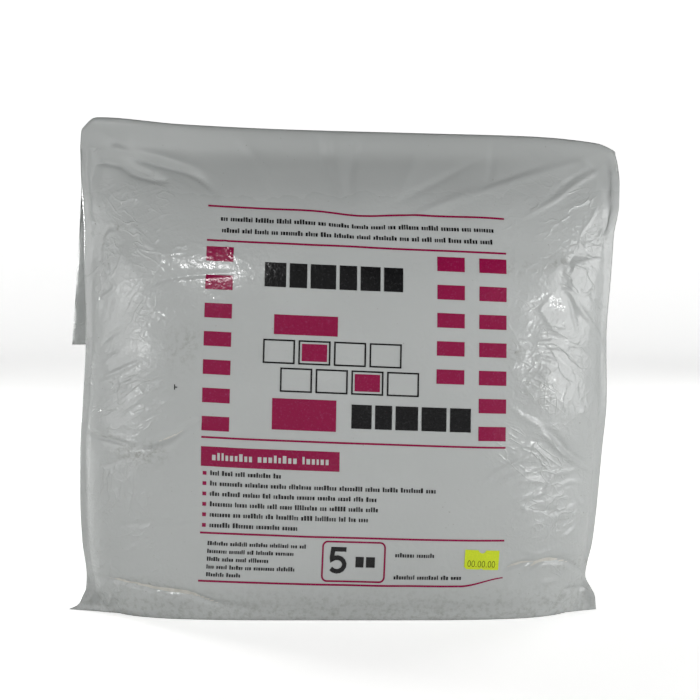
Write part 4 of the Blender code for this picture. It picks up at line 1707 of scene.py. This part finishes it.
@dataclass(frozen=True)
class LabelPaper:
    """Fluorescent label paper, uncoated and cut from a price-gun roll."""

    colour: str = "#DAEA20"
    faded: str = "#CADC22"
    fibre_mm: float = 0.7

    def material(self) -> bpy.types.Material:
        """Paper: to the eye dull and bright at once, a saturated yellow-green with a faint mottle.

        Its fibres are 0.02 mm wide, too fine to show, so their clumps are drawn.
        """
        material = empty_material("fluorescent_paper")
        tree = material.node_tree
        place = add_node(tree, "TexCoord")
        fibre = add_node(tree, "TexNoise", inputs={
            "Vector": (place, "Object"), "Scale": per(self.fibre_mm), "Detail": 3.0})
        mottle = add_node(tree, "MapRange", inputs={"Value": fibre, "From Min": 0.3, "From Max": 0.7})
        tint = add_node(tree, "Mix", {"data_type": "RGBA"}, {
            0: mottle, 6: linear(self.colour), 7: linear(self.faded)})
        tooth = add_node(tree, "Bump", inputs={
            "Strength": 0.25, "Distance": 0.06 * MM, "Height": fibre})
        shader = add_node(tree, "BsdfPrincipled", inputs={
            "Base Color": (tint, 2), "Roughness": 0.62, "IOR": 1.5, "Normal": tooth})
        add_node(tree, "OutputMaterial", inputs={"Surface": shader})
        return material


@dataclass(frozen=True)
class CementPowder:
    """White portland cement, dry and loose."""

    colour: str = "#D8D6CF"
    shade: str = "#C4C2BA"
    clod_mm: float = 4.0

    def material(self) -> bpy.types.Material:
        """Powder: to the eye fully matte and off-white, with soft clods."""
        material = empty_material("white_cement")
        tree = material.node_tree
        place = add_node(tree, "TexCoord")
        clods = add_node(tree, "TexNoise", inputs={
            "Vector": (place, "Object"), "Scale": per(self.clod_mm), "Detail": 5.0, "Roughness": 0.6})
        mottle = add_node(tree, "MapRange", inputs={"Value": clods, "From Min": 0.3, "From Max": 0.7})
        tint = add_node(tree, "Mix", {"data_type": "RGBA"}, {
            0: mottle, 6: linear(self.colour), 7: linear(self.shade)})
        lumps = add_node(tree, "Bump", inputs={"Strength": 0.6, "Distance": 0.5 * MM, "Height": clods})
        shader = add_node(tree, "BsdfPrincipled", inputs={
            "Base Color": (tint, 2), "Roughness": 0.95, "IOR": 1.5, "Normal": lumps})
        add_node(tree, "OutputMaterial", inputs={"Surface": shader})
        return material


def paint_attribute(thing: bpy.types.Object, name: str, values: np.ndarray) -> None:
    """Store one value for each vertex under a name that a material reads."""
    layer = thing.data.attributes.new(name, "FLOAT", "POINT")
    layer.data.foreach_set("value", np.asarray(values, dtype=np.float32))


@dataclass(frozen=True)
class SoftLamp:
    """Square area lamp that faces the bag's middle.

    Its azimuth is degrees to the right of the bag's front and its elevation degrees up. Distance
    and side are metres, and power is watts.
    """

    name: str
    azimuth: float
    elevation: float
    distance: float
    power: float
    side: float

    def build(self, middle: Vector) -> None:
        """The lamp, turned to a point."""
        turn, rise = math.radians(self.azimuth), math.radians(self.elevation)
        away = Vector((math.sin(turn) * math.cos(rise), -math.cos(turn) * math.cos(rise),
                       math.sin(rise)))
        data = bpy.data.lights.new(self.name, "AREA")
        data.energy, data.size = self.power, self.side
        lamp = bpy.data.objects.new(self.name, data)
        lamp.location = middle + self.distance * away
        lamp.rotation_euler = (lamp.location - middle).to_track_quat("Z", "Y").to_euler()
        bpy.context.scene.collection.objects.link(lamp)


LAMPS = (
    SoftLamp("soft_right", 58.0, 10.0, 1.35, 7.5, 0.75),
    SoftLamp("soft_left", -58.0, 10.0, 1.35, 3.8, 0.75),
    SoftLamp("spark_right", 42.0, 5.0, 1.35, 1.2, 0.1),
    SoftLamp("spark_left", -46.0, 7.0, 1.35, 0.6, 0.1),
    SoftLamp("far_right", 84.0, 10.0, 1.4, 1.4, 0.8),
    SoftLamp("far_left", -84.0, 6.0, 1.4, 0.4, 0.6),
    SoftLamp("soft_back_left", 238.0, 12.0, 1.4, 11.0, 0.3),
    SoftLamp("soft_back_right", 134.0, 18.0, 1.4, 5.5, 0.6),
    SoftLamp("back_spark", 204.0, 26.0, 1.0, 1.0, 0.035),
    SoftLamp("lens_lamp", -24.0, 30.0, 0.95, 1.0, 0.026),
)


@dataclass
class Studio:
    """Wide pale floor with a wall behind it, soft light from all sides, and the lamps."""

    reach: float = 14.0
    wall: float = 2.6
    wall_top: float = 4.0
    curve: float = 0.8
    ambient: float = 0.34
    horizon: float = 0.95

    def build(self, view: PhotoView, shift: np.ndarray) -> None:
        """Floor, world and lamps."""
        self.floor()
        self.world()
        middle = Vector((np.array(view.middle) + shift) * MM)
        for lamp in LAMPS:
            lamp.build(middle)

    def floor(self) -> None:
        """Sweep: wide flat floor, a quarter circle behind the bag, then a wall."""
        turns = np.linspace(0, math.pi / 2, 14)
        bend = self.wall - self.curve + self.curve * np.sin(turns)
        y = np.concatenate([[-self.reach], bend, [self.wall]])
        z = np.concatenate([[0.0], self.curve * (1 - np.cos(turns)), [self.wall_top]])
        x = np.tile([-self.reach, self.reach], len(y))
        points = np.stack([x, np.repeat(y, 2), np.repeat(z, 2)], axis=-1)
        sweep = make_mesh("studio_floor", points, grid_faces(np.arange(len(points)).reshape(-1, 2)))
        sweep.data.materials.append(self.floor_paint())

    @staticmethod
    def floor_paint() -> bpy.types.Material:
        """Matte white floor paint, which the camera sees a little brighter than it lights."""
        material = empty_material("pale_studio_floor")
        tree = material.node_tree
        paint = add_node(tree, "BsdfPrincipled", inputs={
            "Base Color": linear("#EEEEEC"), "Roughness": 0.9})
        path = add_node(tree, "LightPath")
        place = add_node(tree, "TexCoord")
        away = add_node(tree, "VectorMath", {"operation": "LENGTH"}, {0: (place, "Object")})
        shine = add_node(tree, "MapRange", inputs={
            "Value": (away, "Value"), "From Min": 0.8, "From Max": 3.0, "To Min": 0.55, "To Max": 0.95})
        glow = add_node(tree, "Emission", inputs={"Color": (1.0, 1.0, 1.0, 1.0), "Strength": shine})
        dark = add_node(tree, "Emission", inputs={"Strength": 0.0})
        seen = add_node(tree, "MixShader", inputs={0: (path, "Is Camera Ray"), 1: dark, 2: glow})
        both = add_node(tree, "AddShader", inputs={0: paint, 1: seen})
        add_node(tree, "OutputMaterial", inputs={"Surface": both})
        return material

    def world(self) -> None:
        """Soft light from all sides, weaker from straight above than from the horizon."""
        world = bpy.data.worlds.new("soft_studio")
        world.use_nodes = True
        tree = world.node_tree
        ground = tree.nodes["Background"]
        ground.inputs["Color"].default_value = (1.0, 1.0, 1.0, 1.0)
        place = add_node(tree, "TexCoord")
        parts = add_node(tree, "SeparateXYZ", inputs={"Vector": (place, "Generated")})
        height = add_node(tree, "MapRange", inputs={
            "Value": (parts, "Z"), "From Min": 0.0, "From Max": 0.55,
            "To Min": self.ambient, "To Max": 0.04 * self.ambient})
        path = add_node(tree, "LightPath")
        seen = add_node(tree, "Mix", {"data_type": "FLOAT"},
                        {0: (path, "Is Camera Ray"), 2: height, 3: self.horizon})
        tree.links.new(seen.outputs[0], ground.inputs["Strength"])
        bpy.context.scene.world = world


def dress(thing: bpy.types.Object, material: bpy.types.Material, slot: str, *nodes: str) -> None:
    """Give a piece its finish and its body, and hide the solids that it stands for."""
    thing.data.materials.append(material)
    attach(thing, "root")
    if nodes:
        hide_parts(*nodes)
    LOG.info("%s: %d faces", thing.name, len(thing.data.polygons))


def main() -> None:
    """Build the dressed bag in order: film, print, label, powder, studio.

    The drawing frame is moved to the part's frame by the label's middle and by the film's
    foremost point, which lies FRONT_DEPTH before the drawing's y = 0.
    """
    logging.basicConfig(level=logging.INFO, format="%(name)s: %(message)s")
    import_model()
    view, form, layout, label = PhotoView(), BagForm(), PrintLayout(), DateLabel()
    bag_low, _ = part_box("film_bag")
    label_low, label_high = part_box("date_label")
    across = (label_low[0] + label_high[0]) / 2 / MM - label.centre[0]
    shift = np.array([across, bag_low[1] / MM + FRONT_DEPTH, 0.0])
    film = FilmSheet(form)
    film.build()
    masks = Wrinkler(view).dress(film)
    bag = film.mesh("film", shift)
    for name, values in masks.items():
        paint_attribute(bag, name, values)
    dress(bag, PolyFilm().material(), "film", "film_bag")
    inks = {Ink.MAGENTA: FlexoInk("magenta_ink", "#921245", "#9C3F6A"),
            Ink.BLACK: FlexoInk("black_ink", "#151516", "#3A3A3C"),
            Ink.PAPER_WHITE: FlexoInk("light_gap", "#C6C8C7", "#C6C8C7")}
    for ink, layer in layout.paint().items():
        dress(lay_ink(layer, layout, view, film, shift), inks[ink].material(), "film")
    dress(label.paper(film, shift), LabelPaper().material(), "label", "date_label")
    dress(label.digits(film, shift), FlexoInk("stamp_ink", "#3C4A12", "#5C6A22").material(), "label")
    points, faces = film.powder(film.fill_inset, film.fill_top)
    powder = make_mesh("powder", (points + shift) * MM, faces)
    dress(powder, CementPowder().material(), "cement", "cement_fill")
    Studio().build(view, shift)
    view.make_camera(shift)
    bpy.context.scene.view_settings.view_transform = "Standard"


if __name__ == "__main__":
    main()
